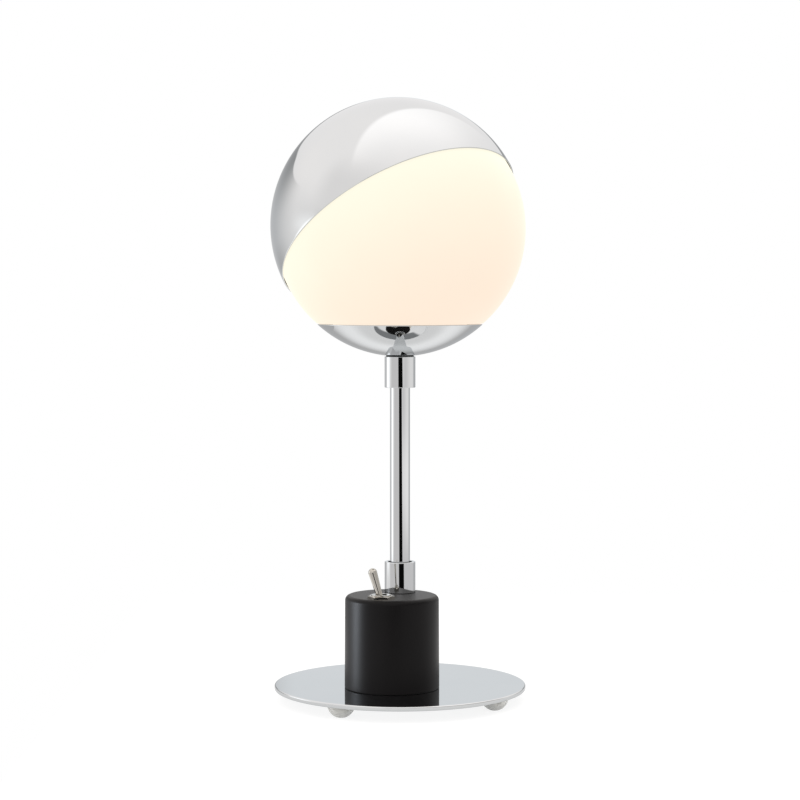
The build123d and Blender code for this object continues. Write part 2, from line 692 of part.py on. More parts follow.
def pivot_bar(radius, length):
    """Round bar on the lever's axis."""
    return Pos(0, SWITCH_Y, PIVOT_Z) * Rot(90, 0, 0) * Cylinder(radius, length)


def dress_nut():
    """Hexagon nut over the housing, broken along its upper edge."""
    top = ROOF_TOP + DRESS_NUT_THICKNESS
    nut = hexagon(DRESS_NUT_FLATS, ROOF_TOP, top)
    nut = chamfer(nut.edges().group_by(Axis.Z)[-1], DRESS_NUT_EDGE)
    nut -= rod(BUSHING_RADIUS + SLIP, ROOF_TOP, top)
    return Pos(0, SWITCH_Y, 0) * Rot(0, 0, DRESS_NUT_TURN) * nut


def switch_lever():
    """Toggle: ball, tapered handle with a round tip, and the tail inside the switch."""
    tip_z = LEVER_LENGTH - LEVER_TIP_RADIUS
    handle = turned_points((0, 0), (LEVER_ROOT_RADIUS, 0), (LEVER_TIP_RADIUS, tip_z), (0, tip_z))
    lever = Sphere(LEVER_BALL_RADIUS) + handle + Pos(0, 0, tip_z) * Sphere(LEVER_TIP_RADIUS)
    lever += rod(LEVER_TAIL_RADIUS, -LEVER_TAIL_LENGTH, 0)
    lever = Pos(0, SWITCH_Y, PIVOT_Z) * Rot(0, -LEVER_LEAN, 0) * lever
    return lever - pivot_bar(PIN_RADIUS + SLIP, 2 * LEVER_BALL_RADIUS + RUN)


def way_places():
    """Sideways places of the three ways in the terminal block."""
    return [-BLOCK_PITCH, 0.0, BLOCK_PITCH]


def terminal_block():
    """Moulded block with three ways, open to front and back, and a hole for its screw."""
    top = DISC_TOP + BLOCK_HEIGHT
    body = block(2 * (BLOCK_PITCH + BLOCK_END), BLOCK_WIDTH, DISC_TOP, top, 0, BLOCK_Y)
    for x in way_places():
        body -= Pos(x, BLOCK_Y, WAY_Z) * Rot(90, 0, 0) * Cylinder(WAY_RADIUS, BLOCK_WIDTH)
        body -= rod(GRUB_RADIUS + SLIP, WAY_Z, top, x, BLOCK_Y)
    return body - rod(BLOCK_SCREW_RADIUS + PASS, DISC_TOP, top, BLOCK_SCREW_X, BLOCK_Y)


def terminal_screws():
    """Clamp screws of the terminal block."""
    low = WAY_Z + WIRE_RADIUS + WIRE_END_GAP
    high = DISC_TOP + BLOCK_HEIGHT - GRUB_SINK
    return Compound(children=[rod(GRUB_RADIUS, low, high, x, BLOCK_Y) for x in way_places()])


def block_screw():
    """Screw that holds the terminal block on the disc."""
    seat = DISC_TOP + BLOCK_HEIGHT
    head = rod(BLOCK_SCREW_HEAD_RADIUS, seat, seat + BLOCK_SCREW_HEAD_HEIGHT, BLOCK_SCREW_X, BLOCK_Y)
    return head + rod(BLOCK_SCREW_RADIUS, DISC_UNDER, seat, BLOCK_SCREW_X, BLOCK_Y)


def barrel_bar(radius, length):
    """Round bar lying along the crimp barrel of the earth tag."""
    middle = TAG_Y - TAG_RADIUS - BARREL_LENGTH / 2
    return Pos(TAG_SIDE, middle, BARREL_Z) * Rot(90, 0, 0) * Cylinder(radius, length)


def earth_tag():
    """Ring tag with a crimp barrel."""
    top = DISC_TOP + TAG_THICKNESS
    strip = TAG_RADIUS + BARREL_LENGTH / 2
    tag = rod(TAG_RADIUS, DISC_TOP, top, TAG_SIDE, TAG_Y)
    tag += block(BARREL_RADIUS, strip, DISC_TOP, top, TAG_SIDE, TAG_Y - strip / 2)
    tag += barrel_bar(BARREL_RADIUS, BARREL_LENGTH)
    tag -= barrel_bar(BARREL_BORE_RADIUS, BARREL_LENGTH)
    return tag - rod(SCREW_HOLE_RADIUS, DISC_TOP, top, TAG_SIDE, TAG_Y)


def earth_screw():
    """Screw that clamps the earth tag to the disc."""
    seat = DISC_TOP + TAG_THICKNESS
    return pan_screw(seat - DISC_UNDER, TAG_SIDE, TAG_Y, seat, False)


def wire(radius, *points):
    """Insulated wire along straight runs with rounded corners."""
    path = FilletPolyline(*points, radius=radius)
    start = Plane(origin=path @ 0, z_dir=path % 0)
    return sweep(start * Circle(WIRE_RADIUS), path=path)


def supply_wire():
    """From the terminal block up to the switch."""
    back = BLOCK_Y + BLOCK_WIDTH / 2
    drop = TAB_END - WIRE_LOOP - WIRE_PUSH
    return wire(
        WIRE_LOOP / 2,
        (-BLOCK_PITCH, back - WIRE_PUSH, WAY_Z),
        (-BLOCK_PITCH, back + WIRE_LOOP, WAY_Z),
        (-BLOCK_PITCH, back + WIRE_LOOP, drop),
        (-TAB_SPREAD, SWITCH_Y, drop),
        (-TAB_SPREAD, SWITCH_Y, TAB_END - WIRE_END_GAP),
    )


def switched_wire():
    """From the switch up the stem to the lampholder."""
    drop = TAB_END - WIRE_LOOP
    return wire(
        WIRE_LOOP * 2 / 3,
        (TAB_SPREAD, SWITCH_Y, TAB_END - WIRE_END_GAP),
        (TAB_SPREAD, SWITCH_Y, drop),
        (WIRE_SPREAD, 0, drop),
        (WIRE_SPREAD, 0, HOLDER_RIM - WIRE_END_GAP),
    )


def neutral_wire():
    """From the terminal block up the stem to the lampholder."""
    return wire(
        WIRE_LOOP,
        (0, BLOCK_Y + BLOCK_WIDTH / 2 - WIRE_PUSH, WAY_Z),
        (-WIRE_SPREAD, 0, WAY_Z),
        (-WIRE_SPREAD, 0, HOLDER_RIM - WIRE_END_GAP),
    )


def earth_wire():
    """From the terminal block round to the earth tag."""
    front = BLOCK_Y - BLOCK_WIDTH / 2
    turn_y = min(front, TAG_Y - TAG_RADIUS - BARREL_LENGTH) - WIRE_LOOP / 2
    return wire(
        WIRE_LOOP / 3,
        (BLOCK_PITCH, front + WIRE_PUSH, WAY_Z),
        (BLOCK_PITCH, turn_y, WAY_Z),
        (TAG_SIDE, turn_y, BARREL_Z),
        (TAG_SIDE, TAG_Y - TAG_RADIUS - BARREL_LENGTH + WIRE_PUSH, BARREL_Z),
    )


def lower_washer():
    """Plain washer under the housing's roof."""
    return tube(WASHER_RADIUS, NIPPLE_HOLE_RADIUS, ROOF_UNDER - WASHER_THICKNESS, ROOF_UNDER)


def lock_washer():
    """Washer between the switch and the housing's roof."""
    return tube(LOCK_WASHER_RADIUS, BUSHING_RADIUS + PASS, SWITCH_TOP, ROOF_UNDER, 0, SWITCH_Y)


def all_nodes():
    """Every piece of the lamp by name."""
    nodes = {
        "base_disc": base_disc(),
        "cord_gland": cord_gland(),
        "switch_housing": switch_housing(),
        "housing_screws": housing_screws(),
        "lower_collar": Pos(0, 0, ROOF_TOP) * collar(),
        "upper_collar": Pos(0, 0, BOWL_SEAT) * Rot(180, 0, 0) * collar(),
        "stem_tube": stem_tube(),
        "lower_nipple": lower_nipple(),
        "lower_nut": nipple_nut(ROOF_UNDER - WASHER_THICKNESS - NUT_THICKNESS),
        "lower_washer": lower_washer(),
        "upper_nipple": upper_nipple(),
        "bowl_washer": tube(BOWL_WASHER_RADIUS, NIPPLE_HOLE_RADIUS, BOWL_SEAT, BOWL_FLAT),
        "bowl": bowl(),
        "bowl_nut": nipple_nut(BOWL_FLOOR),
        "spring_plate": spring_plate(),
        "lampholder_base": holder_base(),
        "lampholder_skirt": holder_skirt(),
        "lampholder_insert": rod(PLUG_RADIUS, HOLDER_RIM, INSERT_TOP),
        "lampholder_shell": screw_shell(),
        "lampholder_contact": rod(CONTACT_RADIUS, INSERT_TOP, BULB_TIP),
        "lampholder_posts": holder_posts(),
        "bulb_contact": rod(BULB_SOLDER_RADIUS, BULB_TIP, BULB_TIP + BULB_SOLDER_HEIGHT),
        "bulb_insulator": bulb_insulator(),
        "bulb_cap": bulb_cap(),
        "bulb_envelope": bulb_envelope(),
        "bulb_stem": bulb_stem(),
        "bulb_filaments": bulb_filaments(),
        "opal_globe": opal_globe(),
        "shade_cap": shade_cap(),
        "shade_pads": shade_pads(),
        "switch_body": switch_body(),
        "switch_tabs": switch_tabs(),
        "switch_bushing": switch_bushing(),
        "switch_lock_washer": lock_washer(),
        "switch_dress_nut": dress_nut(),
        "switch_pivot_pin": pivot_bar(PIN_RADIUS, pin_length()),
        "switch_lever": switch_lever(),
        "terminal_block": terminal_block(),
        "terminal_screws": terminal_screws(),
        "terminal_block_screw": block_screw(),
        "earth_tag": earth_tag(),
        "earth_screw": earth_screw(),
        "supply_wire": supply_wire(),
        "switched_wire": switched_wire(),
        "neutral_wire": neutral_wire(),
        "earth_wire": earth_wire(),
    }
    feet = around(FOOT_COUNT, FOOT_RING_RADIUS, FOOT_RING_TURN)
    for number, (x, y) in enumerate(feet, start=1):
        nodes[f"foot_{number}"] = foot(x, y)
    return nodes


os.makedirs("parts", exist_ok=True)
for name, solid in all_nodes().items():
    export_step(solid, f"parts/{name}.step")
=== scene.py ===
import json
import math

import bpy
from mathutils import Matrix, Vector


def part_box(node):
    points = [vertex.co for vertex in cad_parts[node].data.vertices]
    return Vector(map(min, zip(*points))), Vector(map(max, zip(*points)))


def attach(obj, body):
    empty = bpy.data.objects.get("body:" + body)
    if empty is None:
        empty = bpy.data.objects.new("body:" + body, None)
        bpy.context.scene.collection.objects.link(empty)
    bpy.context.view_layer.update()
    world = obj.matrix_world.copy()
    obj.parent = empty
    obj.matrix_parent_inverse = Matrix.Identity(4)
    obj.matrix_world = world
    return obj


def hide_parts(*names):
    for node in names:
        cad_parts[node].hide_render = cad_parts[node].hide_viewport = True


# A table lamp with a mirror-bright shade, an opal globe that glows and a satin black switch housing.
# Metres and radians, but degrees for the studio's directions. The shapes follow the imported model;
# this file adds finish, edges and light.
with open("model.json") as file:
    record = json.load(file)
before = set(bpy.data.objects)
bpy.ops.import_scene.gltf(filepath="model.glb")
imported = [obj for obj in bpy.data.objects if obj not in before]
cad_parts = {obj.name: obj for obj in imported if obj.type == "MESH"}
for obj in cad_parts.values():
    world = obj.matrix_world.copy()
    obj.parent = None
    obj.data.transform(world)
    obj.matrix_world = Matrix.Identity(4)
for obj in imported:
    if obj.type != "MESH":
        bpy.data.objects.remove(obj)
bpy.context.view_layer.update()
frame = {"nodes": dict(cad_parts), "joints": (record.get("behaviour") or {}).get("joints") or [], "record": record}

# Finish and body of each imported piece, and the joints by their names
slot_of = {row["node"]: row["material_slot"] for row in frame["record"]["subparts"]}
body_of = {node: body for body, nodes in frame["record"]["behaviour"]["bodies"].items() for node in nodes}
joint_of = {joint["name"]: joint for joint in frame["joints"]}

# A millimetre in metres
MM = 0.001

# Camera
CAMERA_AZIMUTH = math.radians(22.0)
CAMERA_DISTANCE = 1.306
CAMERA_HEIGHT = 0.2471
AIM_HEIGHT = 0.18073
LENS_MM = 98.1

# Turned meshes
TURN_STEPS = 162
ARC_STEP = math.radians(2.0)
ROUND_STEP = math.radians(15.0)
CREASE = math.radians(35.0)
TINY = 1e-7

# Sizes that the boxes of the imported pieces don't give
DISC_EDGE_RADIUS = 0.8 * MM
DISC_HOLE_RADIUS = 5.1 * MM
NIPPLE_HOLE_RADIUS = 5.15 * MM
STEM_BORE_RADIUS = 5.05 * MM
COLLAR_BORE_RADIUS = 7.2 * MM
COLLAR_WEB = 4.0 * MM
BOWL_RADIUS = 73.5 * MM
BOWL_WALL = 1.0 * MM
BOWL_FLAT_RADIUS = 10.0 * MM
GLOBE_RADIUS = 75.0 * MM
GLASS_WALL = 2.5 * MM
NECK_RADIUS = 40.0 * MM
SHOULDER_AIR = 0.3 * MM
HOUSING_TOP_RADIUS = 28.0 * MM
HOUSING_WALL = 2.5 * MM
HOUSING_ROOF = 3.0 * MM
HOUSING_EDGE_RADIUS = 3.0 * MM
SHADE_RADIUS = 76.2 * MM
SHADE_WALL = 0.8 * MM
SHADE_LIFT = 2.9 * MM
SHADE_SKIRT = 1.5 * MM
SHADE_TILT = math.radians(36.0)
PAD_COUNT = 3
PAD_RADIUS = 6.0 * MM
PAD_POLAR_ANGLE = math.radians(35.0)
PAD_BACK_AIR = 0.35 * MM
PAD_GLASS_AIR = 0.35 * MM
FOOT_COUNT = 4
FOOT_RADIUS = 8.2 * MM
FOOT_FLAT_DEPTH = 0.5 * MM
LEVER_LEAN = math.radians(18.0)
LEVER_LENGTH = 20.0 * MM
LEVER_ROOT_RADIUS = 1.8 * MM
LEVER_TIP_RADIUS = 2.65 * MM
LEVER_BALL_RADIUS = 3.0 * MM
LEVER_TAIL_RADIUS = 1.5 * MM
LEVER_TAIL_LENGTH = 7.0 * MM
NUT_FLATS_RADIUS = 7.0 * MM
NUT_TURN = math.radians(22.0)
NUT_BORE_RADIUS = 5.95 * MM
NUT_CHAMFER_ANGLE = math.radians(25.0)

# Rounded edges; on a curved wall an edge begins this many roundings before its corner
FINE_EDGE = 0.12 * MM
SOFT_EDGE = 0.35 * MM
GLASS_EDGE = 0.9 * MM
SHADE_EDGE = 0.32 * MM
PAD_EDGE = 0.5 * MM
HOUSING_FOOT_EDGE = 0.6 * MM
EDGE_LEAD = 3.0

# Places of the colours on a mix node: two inputs and the result
MIX_UNDER = 6
MIX_OVER = 7
MIX_RESULT = 2

# Surface noise: its detail and the limits between which its values count
EVEN = (1.0, 1.0, 1.0)
GRAIN_DETAIL = 4.0
GRAIN_LIMITS = (0.25, 0.75)
CLOUD_DETAIL = 3.0
CLOUD_LIMITS = (0.3, 0.7)

# Colours that several finishes or lights use, and the painted shade inside a bore
WHITE = (1.0, 1.0, 1.0, 1.0)
CHROME_EDGE = (0.88, 0.89, 0.9, 1.0)
BORE_PAINTED_SHADE = (0.012, 0.012, 0.012, 1.0)

# Stripes of the earth wire
STRIPE_COLOUR = (0.72, 0.6, 0.05, 1.0)
STRIPE_SCALE = 140.0
STRIPE_DISTORTION = 0.6
STRIPE_LIMITS = (0.45, 0.55)

# The glow of the glass changes along this direction, between two distances from the origin
GLOW_AXIS = Vector((-0.5, 0.12, 0.9)).normalized()
GLOW_LOW = 0.162
GLOW_HIGH = 0.278
GLOW_CREAM = (0.92, 0.895, 0.74, 1.0)
GLOW_ROSE = (0.89, 0.73, 0.595, 1.0)

# Floor, a board that reaches this far to the camera's left, right, front and back
FLOOR_LEFT = 0.2
FLOOR_RIGHT = 0.42
FLOOR_FRONT = 0.3
FLOOR_BACK = 0.45

# Light of the floor: what it passes on, what is seen of it, and what mirrors show of it.
# In mirrors it has a painted shade under the disc and a painted fade with the distance from the stem.
FLOOR_ALBEDO = 0.8
FLOOR_SHADOW_SHARE = 0.24
FLOOR_WHITE = 0.84
FLOOR_MIRRORED_SHARE = 0.3
FLOOR_MIRRORED_NEAR = 0.81
FLOOR_MIRRORED_FAR = 0.25
FLOOR_FADE = (0.2, 0.445)
FLOOR_PAINTED_SHADE_UNDER_DISC = 0.72
FLOOR_PAST_DISC = (0.11, 0.19)

# Studio seen from the lamp. Azimuth counts from the camera, to its right; elevation from the horizon.
# Directions are in degrees: a patch has its two limits, then how soft its borders are.
WALL = (1.0, 0.98, 0.97, 1.0)
DOME = (1.185, 1.145, 1.125, 1.0)
DOME_ELEVATION = (0.0, 32.0)
FRONT_DOME = (1.02, 0.99, 0.975, 1.0)
FRONT_DOME_AZIMUTH = (-80.0, -10.0, 14.0)
FRONT_DOME_ELEVATION = (0.0, 46.0, 14.0)
BACKDROP_TOP = (0.395, 0.395, 0.395, 1.0)
BACKDROP_MIDDLE = (0.67, 0.67, 0.675, 1.0)
BACKDROP_FOOT = (0.57, 0.565, 0.565, 1.0)
BACKDROP_EDGE = (21.3, 14.6)
BACKDROP_STEP = (-36.0, -9.0)
BACKDROP_SOFT = 0.6
BACKDROP_AZIMUTH = (103.0, 150.0)
BACKDROP_LOW = -10.0
BACKDROP_RISE = 2.0
SWEEP = (0.9, 0.92, 0.935, 1.0)
SWEEP_AZIMUTH = (-3.6, 8.0, 0.9)
SWEEP_ELEVATION = (-2.0, 4.0)
NEAR_LEFT = (0.76, 0.74, 0.74, 1.0)
NEAR_LEFT_AZIMUTH = (-80.0, -5.0, 4.0)
NEAR_LEFT_ELEVATION = (-60.0, 6.0, 9.0)
NEAR_RIGHT = (0.79, 0.775, 0.775, 1.0)
NEAR_RIGHT_AZIMUTH = (18.0, 62.0, 26.0)
NEAR_RIGHT_ELEVATION = (-60.0, 2.0, 4.0)
TABLE_GLOW = (1.21, 1.19, 1.18, 1.0)
TABLE_GLOW_AZIMUTH = (20.0, 115.0, 8.0)
TABLE_GLOW_ELEVATION = (-5.6, -4.4, 1.6)
LOW_RIGHT = (0.77, 0.755, 0.755, 1.0)
LOW_RIGHT_AZIMUTH = (18.0, 120.0, 10.0)
LOW_RIGHT_ELEVATION = (-60.0, -6.6, 0.8)
FRONT_RIGHT = (0.6, 0.585, 0.575, 1.0)
FRONT_RIGHT_AZIMUTH = (14.0, 112.0, 10.0)
FRONT_RIGHT_ELEVATION = (6.0, 42.0, 5.0)
HALO = (1.3, 1.29, 1.285, 1.0)
HALO_AZIMUTH = (-102.0, -72.0, 14.0)
HALO_ELEVATION = (-3.0, 5.0, 6.0)
GLEAM = (1.6, 1.59, 1.58, 1.0)
GLEAM_AZIMUTH = (-109.0, -86.0, 6.0)
GLEAM_ELEVATION = (46.3, 48.3, 0.8)
GLEAM_LEAN = 0.5
BACK_RIGHT = (0.58, 0.58, 0.585, 1.0)
BACK_RIGHT_AZIMUTH = (120.0, 172.0, 6.0)
BACK_RIGHT_ELEVATION = (-60.0, 0.0, 1.0)
GAP = (0.004, 0.004, 0.004, 1.0)
GAP_LEFT = -14.5
GAP_RIGHT = 14.6
GAP_LEFT_LEAN = -0.85
GAP_RIGHT_LEAN = -2.05
GAP_SOFT = 1.0
GAP_ELEVATION = (-13.0, 5.0, 3.0)
GAP_TWICE_ELEVATION = (-60.0, 5.0, 3.0)
RAFTERS = (0.37, 0.37, 0.375, 1.0)
RAFTERS_FROM_BACK = (-53.0, 24.0, 3.0)
RAFTERS_ELEVATION = (20.0, 71.5, 1.0)

# A ray whose count of mirrors is above this has been mirrored twice. Only such rays see the rafters
# and the full depth of the gap.
MIRRORED_ONCE = 1.5

# Overhead softbox, laid out on a ceiling one unit above the lamp by steps to the right and to the front.
# One edge is slanted. The light fades to the right, to the front and towards the horizon.
SOFTBOX = (1.545, 1.495, 1.47, 1.0)
SOFTBOX_SLANT_RIGHT = 0.82
SOFTBOX_SLANT_FRONT = 0.58
SOFTBOX_EDGE = (-0.41, -0.32)
SOFTBOX_FADE_RIGHT = (0.0, 1.2)
SOFTBOX_FADE_FRONT = (-0.45, 0.8)
SOFTBOX_FADE_UP = (0.1, 0.9)
SOFTBOX_LOWEST = 0.05

# Light card at the left, which shows in the stem as a stripe. It fades over these heights and widths.
CARD_LIGHT = (1.0, 1.01, 1.03, 1.0)
CARD_STRENGTH = 1.65
CARD_AZIMUTH = math.radians(-99.0)
CARD_DISTANCE = 0.35
CARD_HALF_WIDTH = 0.096
CARD_CORE = 0.062
CARD_FOOT = (0.023, 0.054)
CARD_TOP = (0.197, 0.212)

# Lamp at the left that lights the satin housing alone
LAMP_WATTS = 5.5
LAMP_COLOUR = (0.93, 1.0, 1.1)
LAMP_SIZE = (0.26, 0.25)
LAMP_AZIMUTH = math.radians(-95.0)
LAMP_DISTANCE = 1.0
LAMP_HEIGHT = 0.03
LAMP_AIM_HEIGHT = 0.045


def polar(radius, angle, height=0.0):
    """Point of a circle about the axis at a height, in the half plane of radius and height."""
    return (radius * math.cos(angle), height + radius * math.sin(angle))


def arc(radius, start, end, height):
    """Points of a circle's arc about a point of the axis, from one angle to another."""
    steps = max(2, math.ceil(abs(end - start) / ARC_STEP))
    return [polar(radius, start + (end - start) * i / steps, height) for i in range(steps + 1)]


def chord(radius, rise):
    """Half width of a circle at a height above or below its centre."""
    return math.sqrt(radius**2 - rise**2)


def rounded(corners, closed=False):
    """Outline through corners of (radius, height, rounding), with an arc at each rounding."""
    points = []
    last = len(corners) - 1
    for i, (radius, height, rounding) in enumerate(corners):
        here = Vector((radius, height))
        if rounding <= 0 or (not closed and i in (0, last)):
            points.append(tuple(here))
            continue
        back = (Vector(corners[i - 1][:2]) - here).normalized()
        ahead = (Vector(corners[(i + 1) % (last + 1)][:2]) - here).normalized()
        half = back.angle(ahead) / 2
        middle = here + (back + ahead).normalized() * rounding / math.sin(half)
        arm = here + back * rounding / math.tan(half) - middle
        turn = arm.angle_signed(here + ahead * rounding / math.tan(half) - middle)
        steps = max(2, math.ceil(abs(turn) / ROUND_STEP))
        for k in range(steps + 1):
            spoke = Matrix.Rotation(-turn * k / steps, 2) @ arm
            points.append(tuple(middle + spoke))
    return points


def link(name, vertices, faces):
    """New mesh object with smooth faces, creased at its corners."""
    mesh = bpy.data.meshes.new(name)
    mesh.from_pydata(vertices, [], faces)
    mesh.validate()
    mesh.shade_smooth()
    mesh.set_sharp_from_angle(angle=CREASE)
    piece = bpy.data.objects.new(name, mesh)
    bpy.context.scene.collection.objects.link(piece)
    normals = piece.modifiers.new("even_normals", "WEIGHTED_NORMAL")
    normals.keep_sharp = True
    return piece


def lathe(name, outline, place=Matrix(), closed=False, stretch=None):
    """Turned piece from an outline of (radius, height) points that runs round its solid clockwise.

    A stretch moves the points of a ring by their angle, to make it other than round.
    """
    vertices = []
    rings = []
    for radius, height in outline:
        count = TURN_STEPS if radius > TINY else 1
        ring = range(len(vertices), len(vertices) + count)
        rings.append(ring)
        for i in ring:
            angle = 2 * math.pi * (i - ring[0]) / count
            point = (radius, height) if stretch is None else stretch(radius, height, angle)
            spot = (point[0] * math.cos(angle), point[0] * math.sin(angle), point[1])
            vertices.append(place @ Vector(spot))
    pairs = list(zip(rings, rings[1:]))
    if closed:
        pairs.append((rings[-1], rings[0]))
    faces = [face for a, b in pairs for face in wall(a, b)]
    return link(name, vertices, faces)


def wall(a, b):
    """Faces between two rings of vertices, either of which may be a single point on the axis."""
    faces = []
    for i in range(max(len(a), len(b))):
        k = i + 1
        corners = [a[i % len(a)], a[k % len(a)], b[k % len(b)], b[i % len(b)]]
        faces.append(list(dict.fromkeys(corners)))
    return faces


def add(tree, kind, settings=None, inputs=None):
    """New node with its settings and inputs, where an input is a value or another node's output."""
    node = tree.nodes.new(kind)
    for key, value in (settings or {}).items():
        setattr(node, key, value)
    for key, value in (inputs or {}).items():
        if isinstance(value, bpy.types.NodeSocket):
            tree.links.new(value, node.inputs[key])
        else:
            node.inputs[key].default_value = value
    return node


def calc(tree, operation, *values):
    """Result of a calculation with one or two values."""
    inputs = dict(enumerate(values))
    return add(tree, "ShaderNodeMath", {"operation": operation}, inputs).outputs[0]


def ramp(tree, value, low, high, start=0.0, end=1.0):
    """Value that goes smoothly from start to end while another goes from low to high."""
    limits = {"Value": value, "From Min": low, "From Max": high, "To Min": start, "To Max": end}
    settings = {"interpolation_type": "SMOOTHSTEP"}
    return add(tree, "ShaderNodeMapRange", settings, limits).outputs["Result"]


def band(tree, value, low, high, soft):
    """1 where a value lies between two limits and 0 elsewhere, with soft ends."""
    rise = ramp(tree, value, low - soft, low + soft)
    fall = ramp(tree, value, high - soft, high + soft, 1.0, 0.0)
    return calc(tree, "MULTIPLY", rise, fall)


def mix(tree, factor, under, over):
    """Colour between two colours."""
    inputs = {0: factor, MIX_UNDER: under, MIX_OVER: over}
    return add(tree, "ShaderNodeMix", {"data_type": "RGBA"}, inputs).outputs[MIX_RESULT]


def noise(tree, scale, detail, stretch=EVEN):
    """Noise over the piece itself, so that it stays with the piece when that moves."""
    place = add(tree, "ShaderNodeTexCoord").outputs["Object"]
    place = add(tree, "ShaderNodeMapping", inputs={"Vector": place, "Scale": stretch}).outputs[0]
    inputs = {"Vector": place, "Scale": scale, "Detail": detail}
    return add(tree, "ShaderNodeTexNoise", inputs=inputs).outputs["Fac"]


def finish(name, tints, rough, grain, cloud, relief=0.0, stretch=EVEN, sockets=None):
    """Material whose colour drifts between two tints and whose gloss and relief have a fine grain."""
    made = bpy.data.materials.new(name)
    made.use_nodes = True
    tree = made.node_tree
    shader = tree.nodes["Principled BSDF"]
    for key, value in (sockets or {}).items():
        shader.inputs[key].default_value = value
    fine = noise(tree, grain, GRAIN_DETAIL, stretch)
    drift = ramp(tree, noise(tree, cloud, CLOUD_DETAIL), *CLOUD_LIMITS)
    dark, light = [(*tint, 1.0) for tint in tints]
    tree.links.new(mix(tree, drift, dark, light), shader.inputs["Base Color"])
    tree.links.new(ramp(tree, fine, *GRAIN_LIMITS, *rough), shader.inputs["Roughness"])
    if relief:
        inputs = {"Strength": 1.0, "Distance": relief, "Height": fine}
        bump = add(tree, "ShaderNodeBump", inputs=inputs)
        tree.links.new(bump.outputs["Normal"], shader.inputs["Normal"])
    return made


def axis_distance(tree):
    """Distance from the upright axis through the piece's own origin."""
    place = add(tree, "ShaderNodeTexCoord").outputs["Object"]
    settings = {"operation": "MULTIPLY"}
    flat = add(tree, "ShaderNodeVectorMath", settings, {0: place, 1: (1.0, 1.0, 0.0)}).outputs[0]
    return add(tree, "ShaderNodeVectorMath", {"operation": "LENGTH"}, {0: flat}).outputs["Value"]


def chrome(name="chrome", bore=0.0):
    """Polished plating with a faint haze; inside a bore it is darkened with painted shade."""
    made = finish(
        name,
        tints=((0.645, 0.66, 0.668), (0.661, 0.674, 0.68)),
        rough=(0.02, 0.045),
        grain=700.0,
        cloud=25.0,
        sockets={"Metallic": 1.0, "Specular Tint": CHROME_EDGE},
    )
    if bore:
        tree = made.node_tree
        shader = tree.nodes["Principled BSDF"]
        # Painted shade: the plating turns dark inside the bore, where shade falls
        inside = ramp(tree, axis_distance(tree), bore, bore + FINE_EDGE, 1.0, 0.0)
        plain = shader.inputs["Base Color"].links[0].from_socket
        tree.links.new(mix(tree, inside, plain, BORE_PAINTED_SHADE), shader.inputs["Base Color"])
    return made


def satin_black():
    """Satin lacquer with a fine tooth."""
    return finish(
        "satin_black",
        tints=((0.0018, 0.0013, 0.0015), (0.0026, 0.0019, 0.0021)),
        rough=(0.36, 0.42),
        grain=2400.0,
        cloud=40.0,
        relief=0.002 * MM,
        sockets={"Specular IOR Level": 0.16},
    )


def opal_glass():
    """Satin opal glass that glows, creamy and brighter at its upper left and rosier away from it."""
    made = finish(
        "opal_glass",
        tints=((0.12, 0.115, 0.1), (0.13, 0.125, 0.11)),
        rough=(0.34, 0.4),
        grain=900.0,
        cloud=30.0,
        sockets={"Specular IOR Level": 0.1},
    )
    tree = made.node_tree
    shader = tree.nodes["Principled BSDF"]
    place = add(tree, "ShaderNodeTexCoord").outputs["Object"]
    towards = {0: place, 1: GLOW_AXIS}
    along = add(tree, "ShaderNodeVectorMath", {"operation": "DOT_PRODUCT"}, towards).outputs["Value"]
    share = ramp(tree, along, GLOW_LOW, GLOW_HIGH)
    tree.links.new(mix(tree, share, GLOW_ROSE, GLOW_CREAM), shader.inputs["Emission Color"])
    shader.inputs["Emission Strength"].default_value = 1.0
    return made


def nickel():
    """Warm satin nickel with fine turning marks."""
    return finish(
        "nickel",
        tints=((0.52, 0.497, 0.45), (0.58, 0.556, 0.508)),
        rough=(0.08, 0.14),
        grain=1500.0,
        cloud=150.0,
        relief=0.0005 * MM,
        stretch=(1.0, 1.0, 6.0),
        sockets={"Metallic": 1.0, "Specular Tint": CHROME_EDGE},
    )


def clear_rubber():
    """Milky soft plastic, a little grey."""
    return finish(
        "clear_rubber",
        tints=((0.63, 0.64, 0.605), (0.69, 0.695, 0.66)),
        rough=(0.18, 0.26),
        grain=900.0,
        cloud=120.0,
        sockets={"Transmission Weight": 0.3, "IOR": 1.46},
    )


def black_rubber():
    """Dull rubber."""
    return finish(
        "black_rubber",
        tints=((0.012, 0.012, 0.012), (0.02, 0.02, 0.02)),
        rough=(0.6, 0.75),
        grain=3000.0,
        cloud=200.0,
        relief=0.01 * MM,
    )


def plated_steel():
    """Zinc-plated steel with a cool, cloudy sheen."""
    return finish(
        "plated_steel",
        tints=((0.52, 0.53, 0.55), (0.62, 0.62, 0.62)),
        rough=(0.22, 0.38),
        grain=1200.0,
        cloud=250.0,
        relief=0.003 * MM,
        sockets={"Metallic": 1.0},
    )


def brass():
    """Drawn brass with slight tarnish."""
    return finish(
        "brass",
        tints=((0.62, 0.44, 0.18), (0.78, 0.6, 0.3)),
        rough=(0.2, 0.36),
        grain=1300.0,
        cloud=220.0,
        relief=0.003 * MM,
        sockets={"Metallic": 1.0},
    )


def black_plastic():
    """Moulded plastic with an eroded texture."""
    return finish(
        "black_plastic",
        tints=((0.016, 0.016, 0.017), (0.024, 0.024, 0.024)),
        rough=(0.38, 0.52),
        grain=2600.0,
        cloud=150.0,
        relief=0.012 * MM,
    )


def white_plastic():
    """Moulded terminal plastic, off-white."""
    return finish(
        "white_plastic",
        tints=((0.8, 0.79, 0.75), (0.86, 0.86, 0.83)),
        rough=(0.35, 0.48),
        grain=2400.0,
        cloud=150.0,
        relief=0.01 * MM,
    )


